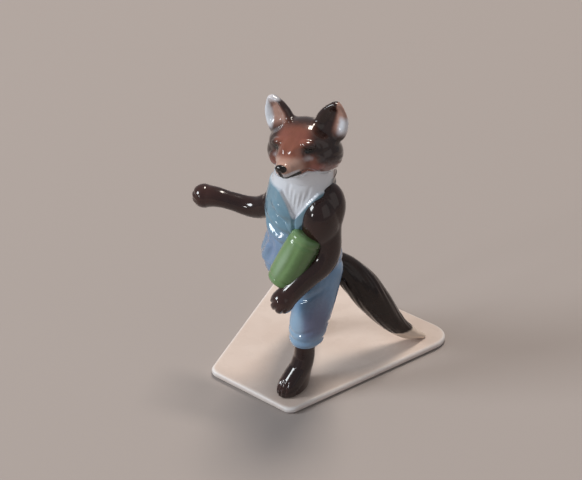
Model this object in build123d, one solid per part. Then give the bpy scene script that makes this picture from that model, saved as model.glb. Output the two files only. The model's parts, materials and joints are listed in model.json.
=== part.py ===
"""Glazed porcelain fox walking across a small plate, with a packet held under one arm."""
from build123d import *
from math import cos, radians, sin
import os

# Plate, in millimetres like every length here
plate_length = 61.0
plate_front_width = 31.0
plate_back_width = 66.4
plate_thickness = 2.2
plate_front_corner = 3.2
plate_back_corner = 6.5
plate_rim_round = 0.9

# Stance: the front toes stand behind the plate's front edge, the seat behind the front foot
toe_margin = 2.3
seat_behind_foot = 12.5
rear_foot_behind_seat = 12.0
body_x = 4.4
hip_height = 35.8
chest_lean = 0.11
chest_turn = 11.0
hem_sway_right = 1.0
hem_sway_front = 0.8

# Torso: half widths from the seat up to the neck, and how deep the body is for its width
seat_half_width = 11.4
hem_half_width = 12.4
waist_half_width = 10.6
chest_half_width = 10.5
shoulder_half_width = 9.7
neck_half_width = 9.0
body_depth_ratio = 0.84
neck_depth_ratio = 0.93
seat_drop = 5.0
hem_rise = 2.6
hem_lip = 0.6
waist_rise = 11.0
chest_rise = 19.5
shoulder_rise = 25.2
neck_rise = 32.0
neck_shift_left = 1.2
neck_shift_back = 2.3
casting_wall = 2.4
bore_overlap = 2.0
vent_radius = 1.1
vent_length = 12.0

# Legs and feet
hip_spread = 5.4
hip_shift_left = 0.6
hip_radius = 6.2
knee_radius = 5.8
calf_radius = 5.5
left_knee_bend = 0.4
right_knee_bend = 1.2
hem_wall = 1.3
hem_height = 16.0
ankle_radius = 3.0
ankle_plug = 3.0
sole_half_length = 6.3
sole_half_width = 3.8
rear_sole_half_length = 5.2
left_foot_x = 9.8
right_foot_x = -5.4
left_ankle_lean = 1.4
left_ankle_set_back = 3.9
right_ankle_lean = 0.4
right_ankle_set_back = 0.6

# Head: its turn to the left, its tilt to the right and its nod are in degrees
skull_half_width = 10.2
skull_half_depth = 8.0
skull_half_height = 6.9
skull_set_back = 0.7
cheek_half_width = 5.5
cheek_half_depth = 6.3
cheek_half_height = 5.8
cheek_drop = 2.8
head_rise = 10.2
head_side = 0.9
head_forward = 2.2
head_turn = 12.0
head_tilt = -7.0
head_nod = -4.0
muzzle_length = 14.3
muzzle_drop = 3.1
muzzle_root_radius = 7.0
muzzle_tip_radius = 2.3
jaw_drop = 5.0
jaw_root_radius = 4.6
jaw_tip_radius = 1.4
nose_half_width = 1.8
nose_depth = 1.0
nose_drop = 1.8
neck_plug_radius = 5.6
neck_plug = 3.0

# Ears
ear_length = 7.6
ear_half_width = 4.9
ear_half_thickness = 2.7
ear_spread = 7.7
ear_set_back = 2.3
ear_rise = 4.9
ear_splay = 18.9
ear_turn = 10.0

# Arms
upper_arm_length = 17.6
forearm_length = 16.8
right_arm_length = 20.6
upper_arm_radius = 4.3
right_upper_arm_radius = 3.7
forearm_radius = 3.6
wrist_radius = 2.7
paw_radius = 3.6
left_shoulder_lift = 0.6
left_muscle_forward = 1.2
muscle_half_width = 5.3
muscle_half_depth = 5.6
muscle_half_height = 8.4
right_shoulder_drop = 6.8
shoulder_sink = 1.0

# Packet
parcel_length = 18.0
parcel_width = 10.0
parcel_thickness = 8.4
parcel_round = 3.7
parcel_sink = 1.7
parcel_rise = 9.3
parcel_bearing = 24.0

# Tail: the tip lies on the plate, in from its back left corner
tail_radius = 4.9
tail_root_radius = 3.2
tail_tip_radius = 0.9
tail_side = 2.6
tail_drop = 1.8
tail_sink = 3.6
tail_tip_from_side = 7.7
tail_tip_from_back = 8.2

# Slip left in each plugged joint
joint_gap = 0.1

# Levels and places that follow from the sizes above
ground = plate_thickness
hip_z = ground + hip_height
hem_z = ground + hem_height
left_foot_y = toe_margin + sole_half_length - plate_length / 2
body_y = left_foot_y + seat_behind_foot
right_foot_y = body_y + rear_foot_behind_seat
right_ankle_x = right_foot_x + right_ankle_lean
right_ankle_y = right_foot_y + right_ankle_set_back
left_ankle_x = left_foot_x + left_ankle_lean
left_ankle_y = left_foot_y + left_ankle_set_back
hem_radius = ankle_radius + joint_gap + hem_wall

# How a cylinder stands to the point it is placed at
BELOW = (Align.CENTER, Align.CENTER, Align.MAX)
ABOVE = (Align.CENTER, Align.CENTER, Align.MIN)


def neck_share(rise):
    """How far the body has gone over into the neck, from 0 at the chest to 1 at the neck's seam."""
    return (max(rise - chest_rise, 0) / (neck_rise - chest_rise)) ** 2


def body_centre(rise):
    """Middle of the body at a height above the hips: the hem sways out, the neck leans back."""
    sway = min(max(1 - rise / waist_rise, 0), 1)
    neck = neck_share(rise)
    x = body_x - sway * hem_sway_right + neck * neck_shift_left
    y = body_y - sway * hem_sway_front + neck * neck_shift_back - chest_lean * rise
    return Vector(x, y, hip_z + rise)


def body_side(rise):
    """Direction to the fox's left, turning with the chest."""
    angle = radians(chest_turn * min(max(rise / shoulder_rise, 0.0), 1.0))
    return Vector(cos(angle), sin(angle), 0)


def oval(centre, along, across, half_across, half_other):
    """One oval section, square to the direction along."""
    return Plane(origin=centre, x_dir=across, z_dir=along) * Ellipse(half_across, half_other)


def body_loft(rings, shrink):
    """Body through rings of rise and half width, drawn in by shrink on every side."""
    sections = []
    for rise, half_width in rings:
        depth_ratio = body_depth_ratio + neck_share(rise) * (neck_depth_ratio - body_depth_ratio)
        half_depth = half_width * depth_ratio
        sections.append(
            oval(body_centre(rise), (0, 0, 1), body_side(rise), half_width - shrink, half_depth - shrink)
        )
    return loft(sections)


def limb(points, radii):
    """Round limb through the points, closed by a ball at its far end."""
    sections = []
    last = len(points) - 1
    for index, (point, radius) in enumerate(zip(points, radii)):
        along = points[min(index + 1, last)] - points[max(index - 1, 0)]
        across = along.cross(Vector(0.3, 0.9, -0.3))
        sections.append(oval(point, along, across, radius, radius))
    return loft(sections) + Pos(points[-1]) * Sphere(radii[-1])


def ellipsoid(half_x, half_y, half_z):
    """Ball drawn out to three half sizes."""
    return scale(Sphere(1), by=(half_x, half_y, half_z))


def make_plate():
    """Flat slab, narrow in front, with rounded corners and a rounded rim."""
    front = -plate_length / 2
    back = plate_length / 2
    outline = Polygon(
        (-plate_front_width / 2, front),
        (plate_front_width / 2, front),
        (plate_back_width / 2, back),
        (-plate_back_width / 2, back),
        align=None,
    )
    outline = fillet(outline.vertices().sort_by(Axis.Y)[:2], plate_front_corner)
    outline = fillet(outline.vertices().filter_by_position(Axis.Y, back, back), plate_back_corner)
    slab = extrude(outline, plate_thickness)
    rims = slab.faces().filter_by(Plane.XY).edges()
    return fillet(rims, min(plate_rim_round, 0.45 * plate_thickness))


def make_torso():
    """Jacket with a flared hem over the seat, as the outside and as the hollow casting."""
    seat = [
        (-seat_drop, 0.44 * seat_half_width),
        (-0.88 * seat_drop, 0.70 * seat_half_width),
        (-0.56 * seat_drop, 0.90 * seat_half_width),
        (0.18 * seat_drop, seat_half_width),
        (hem_rise + 5 * hem_lip, 0.90 * seat_half_width),
    ]
    jacket = [
        (hem_rise, 0.97 * hem_half_width),
        (hem_rise + hem_lip, hem_half_width),
        (hem_rise + 3 * hem_lip, 0.99 * hem_half_width),
        (0.45 * hem_rise + 0.55 * waist_rise, 0.50 * hem_half_width + 0.50 * waist_half_width),
        (waist_rise, waist_half_width),
        (0.5 * (waist_rise + chest_rise), 0.5 * (waist_half_width + chest_half_width)),
        (chest_rise, chest_half_width),
        (0.5 * (chest_rise + shoulder_rise), 0.4 * chest_half_width + 0.6 * shoulder_half_width),
        (shoulder_rise, shoulder_half_width),
        (0.5 * (shoulder_rise + neck_rise), 0.5 * (shoulder_half_width + neck_half_width)),
        (neck_rise, neck_half_width),
    ]
    outside = body_loft(seat, 0) + body_loft(jacket, 0)
    hollow_rings = [(-0.6 * seat_drop, 0.80 * seat_half_width), seat[3]] + jacket[4:9]
    hollow = body_loft(hollow_rings, casting_wall)
    top = Pos(body_centre(neck_rise))
    socket = top * Cylinder(neck_plug_radius + joint_gap, neck_plug, align=BELOW)
    bore_length = neck_rise - shoulder_rise + bore_overlap
    bore = top * Cylinder(neck_plug_radius - casting_wall, bore_length, align=BELOW)
    vent = Pos(body_centre(-0.4 * seat_drop)) * Cylinder(vent_radius, vent_length, align=BELOW)
    return outside, outside - hollow - socket - bore - vent


def make_leg(side, ankle_x, ankle_y, knee_bend, torso):
    """Trouser leg with a flat hem and a socket for the ankle: side is 1 for left, -1 for right."""
    hip = Vector(body_x + hip_shift_left + side * hip_spread, body_y, hip_z)
    hem = Vector(ankle_x, ankle_y, hem_z)
    rings = [
        (0.0, 0.0, hip_radius),
        (0.37, 0.9, 0.98 * hip_radius),
        (0.66, 1.0, knee_radius),
        (0.82, 0.4, calf_radius),
        (0.92, 0.1, 0.5 * (calf_radius + hem_radius)),
        (1.0, 0.0, hem_radius),
    ]
    sections = []
    for share, bend, radius in rings:
        point = hip + (hem - hip) * share - Vector(0, bend * knee_bend, 0)
        along = (hem - hip).normalized() * (1 - share) - Vector(0, 0, share)
        sections.append(oval(point, along, (1, 0, 0), radius, radius))
    socket = Pos(hem) * Cylinder(ankle_radius + joint_gap, 2 * (ankle_plug + joint_gap))
    return loft(sections) - socket - torso


def make_foot(sole_x, sole_y, ankle_x, ankle_y, half_length):
    """Paw with a flat sole, rising to a round ankle that plugs into the hem."""
    rings = [
        (0.0, 0.92, 0.90, 0.0),
        (0.12, 1.0, 1.0, 0.04),
        (0.24, 0.93, 1.0, 0.17),
        (0.37, 0.76, 0.94, 0.43),
        (0.52, 0.58, 0.86, 0.77),
        (0.70, 0.0, 0.0, 1.0),
    ]
    sections = []
    for height, length, width, shift in rings:
        x = sole_x + shift * (ankle_x - sole_x)
        y = sole_y + shift * (ankle_y - sole_y)
        half_across = max(width * sole_half_width, 1.02 * ankle_radius)
        half_along = max(length * half_length, 1.01 * half_across)
        sections.append(
            oval(Vector(x, y, ground + height * hem_height), (0, 0, 1), (0, 1, 0), half_along, half_across)
        )
    start = ground + 0.68 * hem_height
    ankle = Pos(ankle_x, ankle_y, start) * Cylinder(ankle_radius, hem_z + ankle_plug - start, align=ABOVE)
    return loft(sections) + ankle


def make_head():
    """Skull with cheeks, muzzle, jaw and neck: its place, its outside and the hollow casting."""
    neck_top = body_centre(neck_rise)
    centre = neck_top + Vector(head_side, -head_forward, head_rise)
    place = Pos(centre) * Rot(0, 0, head_turn) * Rot(0, head_tilt, 0) * Rot(head_nod, 0, 0)
    muzzle_end = muzzle_tip_radius - muzzle_length
    muzzle_points = [
        Vector(0, 0.08 * muzzle_end, -0.39 * muzzle_drop),
        Vector(0, 0.42 * muzzle_end, -0.61 * muzzle_drop),
        Vector(0, 0.72 * muzzle_end, -0.87 * muzzle_drop),
        Vector(0, muzzle_end, -muzzle_drop),
    ]
    muzzle = limb(
        muzzle_points,
        [muzzle_root_radius, 0.86 * muzzle_root_radius, 0.61 * muzzle_root_radius, muzzle_tip_radius],
    )
    jaw_points = [
        Vector(0, 0.17 * muzzle_end, -0.90 * jaw_drop),
        Vector(0, 0.54 * muzzle_end, -jaw_drop),
        Vector(0, 0.92 * muzzle_end, -0.96 * jaw_drop),
    ]
    jaw = limb(jaw_points, [jaw_root_radius, 0.70 * jaw_root_radius, jaw_tip_radius])
    nose = Pos(0, 0.6 * nose_depth - muzzle_length, -nose_drop) * ellipsoid(
        nose_half_width, nose_depth, 0.64 * nose_half_width
    )
    face = Pos(0, skull_set_back, 0) * ellipsoid(skull_half_width, skull_half_depth, skull_half_height)
    for side in (1, -1):
        cheek = ellipsoid(cheek_half_width, cheek_half_depth, cheek_half_height)
        face += Pos(side * cheek_half_width, skull_set_back, -cheek_drop) * cheek
    face = face + muzzle + jaw + nose
    neck_sections = []
    for share, grow in [(0.0, 1.0), (0.5, 1.0), (0.95, 0.88)]:
        middle = neck_top + (centre - neck_top) * share
        half_width = grow * neck_half_width
        half_depth = neck_depth_ratio * half_width
        neck_sections.append(oval(middle, (0, 0, 1), body_side(neck_rise), half_width, half_depth))
    plug = Pos(neck_top) * Cylinder(neck_plug_radius, neck_plug - joint_gap, align=BELOW)
    outside = place * face + loft(neck_sections) + plug
    hollow = place * Pos(0, skull_set_back, 0) * ellipsoid(
        skull_half_width - casting_wall, skull_half_depth - casting_wall, skull_half_height - casting_wall
    )
    bore = Pos(neck_top - Vector(0, 0, neck_plug)) * Cylinder(
        neck_plug_radius - casting_wall, neck_plug + head_rise, align=ABOVE
    )
    return place, outside, outside - hollow - bore


def ear_loft(rings, forward):
    """Ear shape through rings of rise, share of the half width and share of the half thickness."""
    sections = []
    for rise, wide, thick in rings:
        sections.append(
            oval(
                Vector(0, -forward, rise * ear_length),
                (0, 0, 1),
                (1, 0, 0),
                ear_half_width * wide,
                ear_half_thickness * thick,
            )
        )
    return loft(sections)


def make_ear(side, head_place, head):
    """Hollowed ear, splayed outwards and turned to the side: side is 1 for left, -1 for right."""
    shell_rings = [
        (-0.39, 0.92, 1.0),
        (0.0, 1.0, 1.0),
        (0.30, 0.94, 0.89),
        (0.58, 0.73, 0.74),
        (0.80, 0.48, 0.58),
        (1.0, 0.16, 0.28),
    ]
    shell = ear_loft(shell_rings, 0)
    scoop = ear_loft(
        [(-0.10, 0.56, 0.52), (0.18, 0.66, 0.60), (0.48, 0.54, 0.50), (0.76, 0.22, 0.22)],
        0.85 * ear_half_thickness,
    )
    place = head_place * Pos(side * ear_spread, ear_set_back, ear_rise)
    place = place * Rot(0, side * ear_splay, 0) * Rot(0, 0, side * ear_turn)
    return place * (shell - scoop) - head


def make_left_arm(torso, leg, head):
    """Arm hanging from the left shoulder, bent at the elbow, its paw in front of the hip."""
    side = body_side(shoulder_rise)
    out = shoulder_half_width - shoulder_sink
    shoulder = body_centre(shoulder_rise + left_shoulder_lift) + side * out
    upper = Vector(0.13, -0.28, -0.95) * upper_arm_length
    fore = Vector(-0.37, -0.64, -0.67) * forearm_length
    elbow = shoulder + upper
    points = [
        shoulder,
        shoulder + upper * 0.45,
        elbow,
        elbow + fore * 0.44,
        elbow + fore * 0.77,
        elbow + fore,
    ]
    radii = [
        upper_arm_radius,
        upper_arm_radius,
        0.93 * upper_arm_radius,
        forearm_radius,
        0.92 * forearm_radius,
        paw_radius,
    ]
    muscle = Pos(shoulder + upper * 0.36 - Vector(0, left_muscle_forward, 0)) * ellipsoid(
        muscle_half_width, muscle_half_depth, muscle_half_height
    )
    arm = limb(points, radii) + Pos(shoulder) * Sphere(upper_arm_radius) + muscle
    return arm - torso - leg - head


def make_right_arm(torso, head):
    """Arm stretched out to the right and forward, ending in a rounded paw."""
    side = body_side(shoulder_rise)
    out = shoulder_half_width - shoulder_sink
    shoulder = body_centre(shoulder_rise - right_shoulder_drop) - side * out
    reach = [
        Vector(-0.27, -0.06, -0.12),
        Vector(-0.63, -0.17, -0.10),
        Vector(-0.84, -0.23, -0.09),
        Vector(-1.02, -0.28, -0.11),
    ]
    points = [shoulder] + [shoulder + step * right_arm_length for step in reach]
    radii = [
        right_upper_arm_radius,
        0.86 * right_upper_arm_radius,
        wrist_radius,
        1.10 * wrist_radius,
        paw_radius,
    ]
    return limb(points, radii) + Pos(shoulder) * Sphere(right_upper_arm_radius) - torso - head


def make_parcel(torso, arm):
    """Rounded packet lying aslant between the chest and the bent arm."""
    turn = radians(chest_turn * parcel_rise / shoulder_rise + parcel_bearing)
    outwards = Vector(sin(turn), -cos(turn), 0)
    downwards = Vector(-0.33, -0.29, -0.90)
    reach = waist_half_width * body_depth_ratio + parcel_thickness / 2 - parcel_sink
    centre = body_centre(parcel_rise) + outwards * reach
    block = Box(parcel_thickness, parcel_width, parcel_length)
    packet = fillet(block.edges(), min(parcel_round, 0.45 * parcel_thickness))
    return Plane(origin=centre, x_dir=outwards, z_dir=downwards) * packet - torso - arm


def make_tail(torso, leg, plate):
    """Bushy tail from the back of the seat, curving left and down to the plate."""
    root = body_centre(-tail_drop) + Vector(tail_side, seat_half_width * body_depth_ratio - tail_sink, 0)
    tip = Vector(
        plate_back_width / 2 - tail_tip_from_side,
        plate_length / 2 - tail_tip_from_back,
        ground + 0.6 * tail_tip_radius,
    )
    shares = [
        (0.0, 0.0, 0.0),
        (0.10, 0.20, 0.08),
        (0.32, 0.35, 0.26),
        (0.53, 0.48, 0.48),
        (0.75, 0.68, 0.77),
        (0.89, 0.85, 0.92),
        (1.0, 1.0, 1.0),
    ]
    way = tip - root
    points = [root + Vector(way.X * x, way.Y * y, way.Z * z) for x, y, z in shares]
    radii = [
        tail_root_radius,
        1.18 * tail_root_radius,
        tail_radius,
        tail_radius,
        0.70 * tail_radius,
        0.45 * tail_radius,
        tail_tip_radius,
    ]
    return limb(points, radii) - torso - leg - plate


plate = make_plate()
torso_outside, torso = make_torso()
head_place, head_outside, head = make_head()

# Legs and feet, the left one in front
left_leg = make_leg(1, left_ankle_x, left_ankle_y, left_knee_bend, torso_outside)
right_leg = make_leg(-1, right_ankle_x, right_ankle_y, right_knee_bend, torso_outside) - left_leg
left_foot = make_foot(left_foot_x, left_foot_y, left_ankle_x, left_ankle_y, sole_half_length)
right_foot = make_foot(right_foot_x, right_foot_y, right_ankle_x, right_ankle_y, rear_sole_half_length)

# Pieces stuck on the two castings, each shaped to the surface it sits on
left_ear = make_ear(1, head_place, head_outside)
right_ear = make_ear(-1, head_place, head_outside)
left_arm = make_left_arm(torso_outside, left_leg, head_outside)
right_arm = make_right_arm(torso_outside, head_outside)
parcel = make_parcel(torso_outside, left_arm)
tail = make_tail(torso_outside, left_leg, plate)

os.makedirs("parts", exist_ok=True)
export_step(plate, "parts/base_plate.step")
export_step(left_foot, "parts/left_foot.step")
export_step(right_foot, "parts/right_foot.step")
export_step(left_leg, "parts/left_leg.step")
export_step(right_leg, "parts/right_leg.step")
export_step(torso, "parts/torso.step")
export_step(head, "parts/head.step")
export_step(left_ear, "parts/left_ear.step")
export_step(right_ear, "parts/right_ear.step")
export_step(left_arm, "parts/left_arm.step")
export_step(right_arm, "parts/right_arm.step")
export_step(parcel, "parts/parcel.step")
export_step(tail, "parts/tail.step")
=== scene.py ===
"""Looks of a glazed porcelain fox that walks across a small plate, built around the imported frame."""

import json
import logging
import math
from dataclasses import dataclass
from enum import Enum
from typing import Callable, Iterable, Sequence

import bpy
import numpy as np
from bpy.types import Material, MeshEdge, Node, NodeSocket, Object
from mathutils import Matrix, Vector
from mathutils.bvhtree import BVHTree

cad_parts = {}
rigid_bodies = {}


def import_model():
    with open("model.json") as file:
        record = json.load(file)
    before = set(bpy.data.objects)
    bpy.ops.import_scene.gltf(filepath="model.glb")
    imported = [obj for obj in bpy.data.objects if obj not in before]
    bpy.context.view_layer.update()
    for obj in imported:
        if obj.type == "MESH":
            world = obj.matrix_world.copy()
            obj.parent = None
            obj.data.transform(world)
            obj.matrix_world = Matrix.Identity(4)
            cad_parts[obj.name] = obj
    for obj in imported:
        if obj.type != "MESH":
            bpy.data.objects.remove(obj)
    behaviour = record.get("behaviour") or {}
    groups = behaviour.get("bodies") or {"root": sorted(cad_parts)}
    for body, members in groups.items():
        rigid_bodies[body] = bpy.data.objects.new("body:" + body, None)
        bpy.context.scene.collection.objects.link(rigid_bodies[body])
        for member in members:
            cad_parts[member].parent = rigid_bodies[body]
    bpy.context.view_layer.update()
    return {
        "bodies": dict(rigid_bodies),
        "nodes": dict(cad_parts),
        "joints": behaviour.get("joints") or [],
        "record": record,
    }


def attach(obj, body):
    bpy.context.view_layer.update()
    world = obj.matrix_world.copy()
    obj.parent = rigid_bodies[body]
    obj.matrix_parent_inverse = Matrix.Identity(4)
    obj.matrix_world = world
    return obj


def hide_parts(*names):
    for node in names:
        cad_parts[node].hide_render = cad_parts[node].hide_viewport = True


LOG = logging.getLogger("fox")
MM = 0.001
ROOT = "root"
UP = Vector((0, 0, 1))
PLATE_TOP = 2.2
NEARLY = 0.001
Pair = tuple[float, float]
Profile = tuple[Pair, ...]
Point = tuple[float, float, float]
Path = Sequence[Point]
Ring = tuple[Point, float, float, float]
Colour = tuple[float, float, float, float]


def srgb(red: int, green: int, blue: int) -> Colour:
    """Turn a colour seen on a screen into the renderer's linear values.

    Args:
        red: Red, 0 to 255.
        green: Green, 0 to 255.
        blue: Blue, 0 to 255.

    Returns:
        Linear red, green, blue and an alpha of 1.
    """
    shares = (channel / 255 for channel in (red, green, blue))
    linear = [share / 12.92 if share <= 0.04045 else ((share + 0.055) / 1.055) ** 2.4 for share in shares]
    return (*linear, 1.0)


def ease(value: np.ndarray, low: float, high: float) -> np.ndarray:
    """Soft step from 0 at low to 1 at high, which may lie below low."""
    share = np.clip((value - low) / (high - low), 0.0, 1.0)
    return share * share * (3.0 - 2.0 * share)


def spot(points: np.ndarray, centre: Point, radii: Point, soft: float = 0.5) -> np.ndarray:
    """Airbrushed oval spot, 1 in its middle, that fades to 0 over a share of its half sizes."""
    reach = np.linalg.norm((points - np.array(centre)) / np.array(radii), axis=1)
    return ease(reach, 1.0 + soft, 1.0 - soft)


def both_sides(*paths: Path) -> list[list[Point]]:
    """The paths and their mirror images across the middle."""
    return [[(way * x, y, z) for x, y, z in path] for path in paths for way in (1, -1)]


def smooth_path(points: Path, steps: int = 8) -> list[Vector]:
    """Follow a smooth line through points.

    Args:
        points: Points that the line goes through.
        steps: Samples from one point to the next.

    Returns:
        Samples along the line, both ends among them.
    """
    knots = [Vector(point) for point in points]
    knots = [2 * knots[0] - knots[1]] + knots + [2 * knots[-1] - knots[-2]]
    line: list[Vector] = []
    for before, start, end, after in zip(knots, knots[1:], knots[2:], knots[3:]):
        slope = end - before
        bend = 2 * before - 5 * start + 4 * end - after
        twist = 3 * start - before - 3 * end + after
        for step in range(steps):
            t = step / steps
            line.append(0.5 * (2 * start + slope * t + bend * t * t + twist * t * t * t))
    line.append(knots[-2].copy())
    return line


class Side(Enum):
    """The fox's own left and right."""

    LEFT = 1
    RIGHT = -1

    @property
    def word(self) -> str:
        """The side as part of a name."""
        return self.name.lower()


class Layer(Enum):
    """Names of the painted layers that the glazes read."""

    # Dark fur and mane, and painted shade: on the packet towards the arm and on the feet where they meet the
    # plate.
    DARK = "paint_dark_and_painted_shade"
    # Warm colours of muzzle, ear cups and paws, and a reddish painted highlight on the toes.
    WARM_AND_HIGHLIGHT = "paint_warm_and_painted_highlight"
    # Pale fur, and painted highlights on the knees and along the packet.
    PALE = "paint_pale_and_painted_highlight"
    WHITE = "paint_white"
    BLACK = "paint_black"
    BLUSH = "paint_blush"
    # Second tints of the jacket, and painted shade on the left trouser leg and on the packet.
    TINT = "paint_tint_and_painted_shade"
    # Darker in hollows: glaze that pools there, and painted shade.
    HOLLOW_POOL_AND_SHADE = "glaze_pool_and_painted_shade"
    # Lighter on ridges: glaze that thins there, and painted highlight.
    RIDGE_THIN_AND_HIGHLIGHT = "glaze_thin_and_painted_highlight"


class Nodes:
    """Shader nodes of one new material, wired as they are added."""

    def __init__(self, name: str) -> None:
        """Start the material.

        Args:
            name: Name of the material.
        """
        self.material = bpy.data.materials.new(name)
        self.material.use_nodes = True
        self.tree = self.material.node_tree
        self.shader = self.tree.nodes["Principled BSDF"]
        self.place = self.add("ShaderNodeTexCoord", {}).outputs["Object"]

    def add(self, kind: str, inputs: dict[str | int, object], **settings: object) -> Node:
        """Add a node.

        Args:
            kind: Blender's name of the node type.
            inputs: Values of its inputs, or outputs of other nodes that feed them.
            settings: Its other settings.

        Returns:
            The new node.
        """
        node = self.tree.nodes.new(kind)
        for key, value in settings.items():
            setattr(node, key, value)
        self.feed(node, inputs)
        return node

    def feed(self, node: Node, inputs: dict[str | int, object]) -> None:
        """Set or wire the inputs of a node.

        Args:
            node: The node.
            inputs: Values of its inputs, or outputs of other nodes that feed them.
        """
        for key, value in inputs.items():
            if isinstance(value, NodeSocket):
                self.tree.links.new(value, node.inputs[key])
            else:
                node.inputs[key].default_value = value

    def reckon(self, operation: str, *values: object) -> NodeSocket:
        """Work out one number from others."""
        return self.add("ShaderNodeMath", dict(enumerate(values)), operation=operation).outputs[0]

    def noise(self, scale: float, detail: float) -> NodeSocket:
        """Soft noise over the piece's own place."""
        inputs = {"Vector": self.place, "Scale": scale, "Detail": detail}
        return self.add("ShaderNodeTexNoise", inputs).outputs["Fac"]

    def step(self, source: NodeSocket, start: Pair, end: Pair = (0.0, 1.0)) -> NodeSocket:
        """Take a number softly from one range to another.

        Args:
            source: The number.
            start: Range that it comes from.
            end: Range that it goes to.

        Returns:
            The number in its new range.
        """
        ends = {"From Min": start[0], "From Max": start[1], "To Min": end[0], "To Max": end[1]}
        ramp = self.add("ShaderNodeMapRange", {"Value": source, **ends}, interpolation_type="SMOOTHSTEP")
        return ramp.outputs["Result"]

    def mix(self, share: NodeSocket, under: NodeSocket | Colour, over: Colour) -> NodeSocket:
        """Lay one colour over another, with a share of cover."""
        inputs = {"Factor": share, "A": under, "B": over}
        return self.add("ShaderNodeMix", inputs, data_type="RGBA").outputs["Result"]


@dataclass(frozen=True)
class Coat:
    """One airbrushed colour over a glaze's ground.

    Attributes:
        layer: Painted layer that says where the colour lies.
        colour: The colour.
        strength: Largest share of the ground that it covers.
        ragged: How far the brushed edge wanders.
    """

    layer: Layer
    colour: Colour
    strength: float = 1.0
    ragged: float = 0.25


@dataclass(frozen=True)
class Glaze:
    """Clear gloss glaze over painted porcelain.

    Attributes:
        name: Name of the material.
        ground: Main colour under the glaze.
        drift: Second tint that the ground drifts towards in soft clouds.
        coats: Airbrushed colours, from the lowest to the topmost.
        cloud_size: Clouds of tint for each metre.
        rough: Roughness under the clear coat.
        unrest: Change of that roughness from cloud to cloud, down and up.
        ripple: Strength of the glaze's slight unevenness.
        gloss: Cover of the clear coat.
        haze: Roughness of the clear coat.
        ior: Bending of light in the glaze.
        shine: Shine of the paint under the clear coat.
        cloud_edge: Noise between which one tint gives way to the other.
        brush_edge: Paint between which a coat goes from nothing to its full strength.
        ripple_height: Height of the unevenness, in metres.
    """

    name: str
    ground: Colour
    drift: Colour
    coats: tuple[Coat, ...] = ()
    cloud_size: float = 140.0
    rough: float = 0.22
    unrest: Pair = (-0.06, 0.08)
    ripple: float = 0.03
    gloss: float = 1.0
    haze: float = 0.05
    ior: float = 1.5
    shine: float = 0.1
    cloud_edge: Pair = (0.3, 0.7)
    brush_edge: Pair = (0.12, 0.88)
    ripple_height: float = 0.0004

    def material(self) -> Material:
        """Build the glaze, or find it if it is there already.

        Returns:
            The finished material.
        """
        found = bpy.data.materials.get(self.name)
        if found is not None:
            return found
        nodes = Nodes(self.name)
        clouds = nodes.noise(scale=260.0, detail=2.0)
        low, high = self.unrest
        rough = nodes.step(clouds, self.cloud_edge, (self.rough + low, self.rough + high))
        grain = nodes.noise(scale=420.0, detail=2.5)
        bump = {"Strength": self.ripple, "Distance": self.ripple_height, "Height": grain}
        ripple = nodes.add("ShaderNodeBump", bump).outputs["Normal"]
        nodes.feed(nodes.shader, {
            "Base Color": self._colour(nodes), "Roughness": rough, "IOR": self.ior,
            "Specular IOR Level": self.shine, "Coat Weight": self.gloss, "Coat Roughness": self.haze,
            "Coat IOR": self.ior, "Normal": ripple, "Coat Normal": ripple,
        })
        return nodes.material

    def _colour(self, nodes: Nodes) -> NodeSocket:
        """Lay the coats over the clouded ground.

        Args:
            nodes: Nodes of the material.

        Returns:
            The colour under the glaze.
        """
        clouds = nodes.noise(self.cloud_size, detail=3.0)
        colour = nodes.mix(nodes.step(clouds, self.cloud_edge), self.ground, self.drift)
        edge = nodes.noise(scale=1100.0, detail=4.0)
        for coat in self.coats:
            mask = nodes.add("ShaderNodeAttribute", {}, attribute_name=coat.layer.value).outputs["Fac"]
            wander = nodes.reckon("MULTIPLY_ADD", edge, coat.ragged, -0.5 * coat.ragged)
            cover = nodes.step(nodes.reckon("ADD", mask, wander), self.brush_edge, (0.0, coat.strength))
            colour = nodes.mix(cover, colour, coat.colour)
        return colour


DARK_FUR = srgb(44, 31, 29)
WHITE_FUR = srgb(222, 227, 235)
NEAR_BLACK = srgb(16, 12, 12)

# The white plate's ground and drift are painted cream-beige: painted warm light on the plate.
PLATE_GLAZE_WARM_LIT = Glaze(
    "plate_under_glaze_painted_warm_light", srgb(208, 190, 179), srgb(217, 201, 191),
    # Near white on the rounded edges: the plate's own white and painted highlight.
    (Coat(Layer.RIDGE_THIN_AND_HIGHLIGHT, srgb(242, 243, 245), 1.0, 0.1),),
    cloud_size=60.0, rough=0.3, gloss=0.25, haze=0.22,
)
FUR_GLAZE = Glaze(
    "fur_under_glaze", srgb(36, 21, 20), srgb(48, 28, 25),
    (
        # Reddish brown: the paws' own warm colour, and a painted highlight on the toes.
        Coat(Layer.WARM_AND_HIGHLIGHT, srgb(62, 37, 33), 0.8),
        # Darker in hollows: glaze pooling and painted shade.
        Coat(Layer.HOLLOW_POOL_AND_SHADE, srgb(19, 13, 13), 0.9, 0.1),
        # Near black at the bottom of the feet: painted shade where they meet the plate.
        Coat(Layer.DARK, srgb(22, 15, 15), 0.9),
    ),
)
TROUSER_GLAZE = Glaze(
    "trouser_under_glaze", srgb(112, 148, 184), srgb(128, 156, 186),
    (
        # Mauve tint, darkened as painted shade on the left leg's outer side.
        Coat(Layer.TINT, srgb(102, 102, 128), 0.85),
        # Pale blue: painted highlights on the knees.
        Coat(Layer.PALE, srgb(158, 188, 212), 0.7),
        # Darker blue in hollows: glaze pooling and painted shade.
        Coat(Layer.HOLLOW_POOL_AND_SHADE, srgb(66, 90, 128), 0.75, 0.1),
    ),
)
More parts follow.
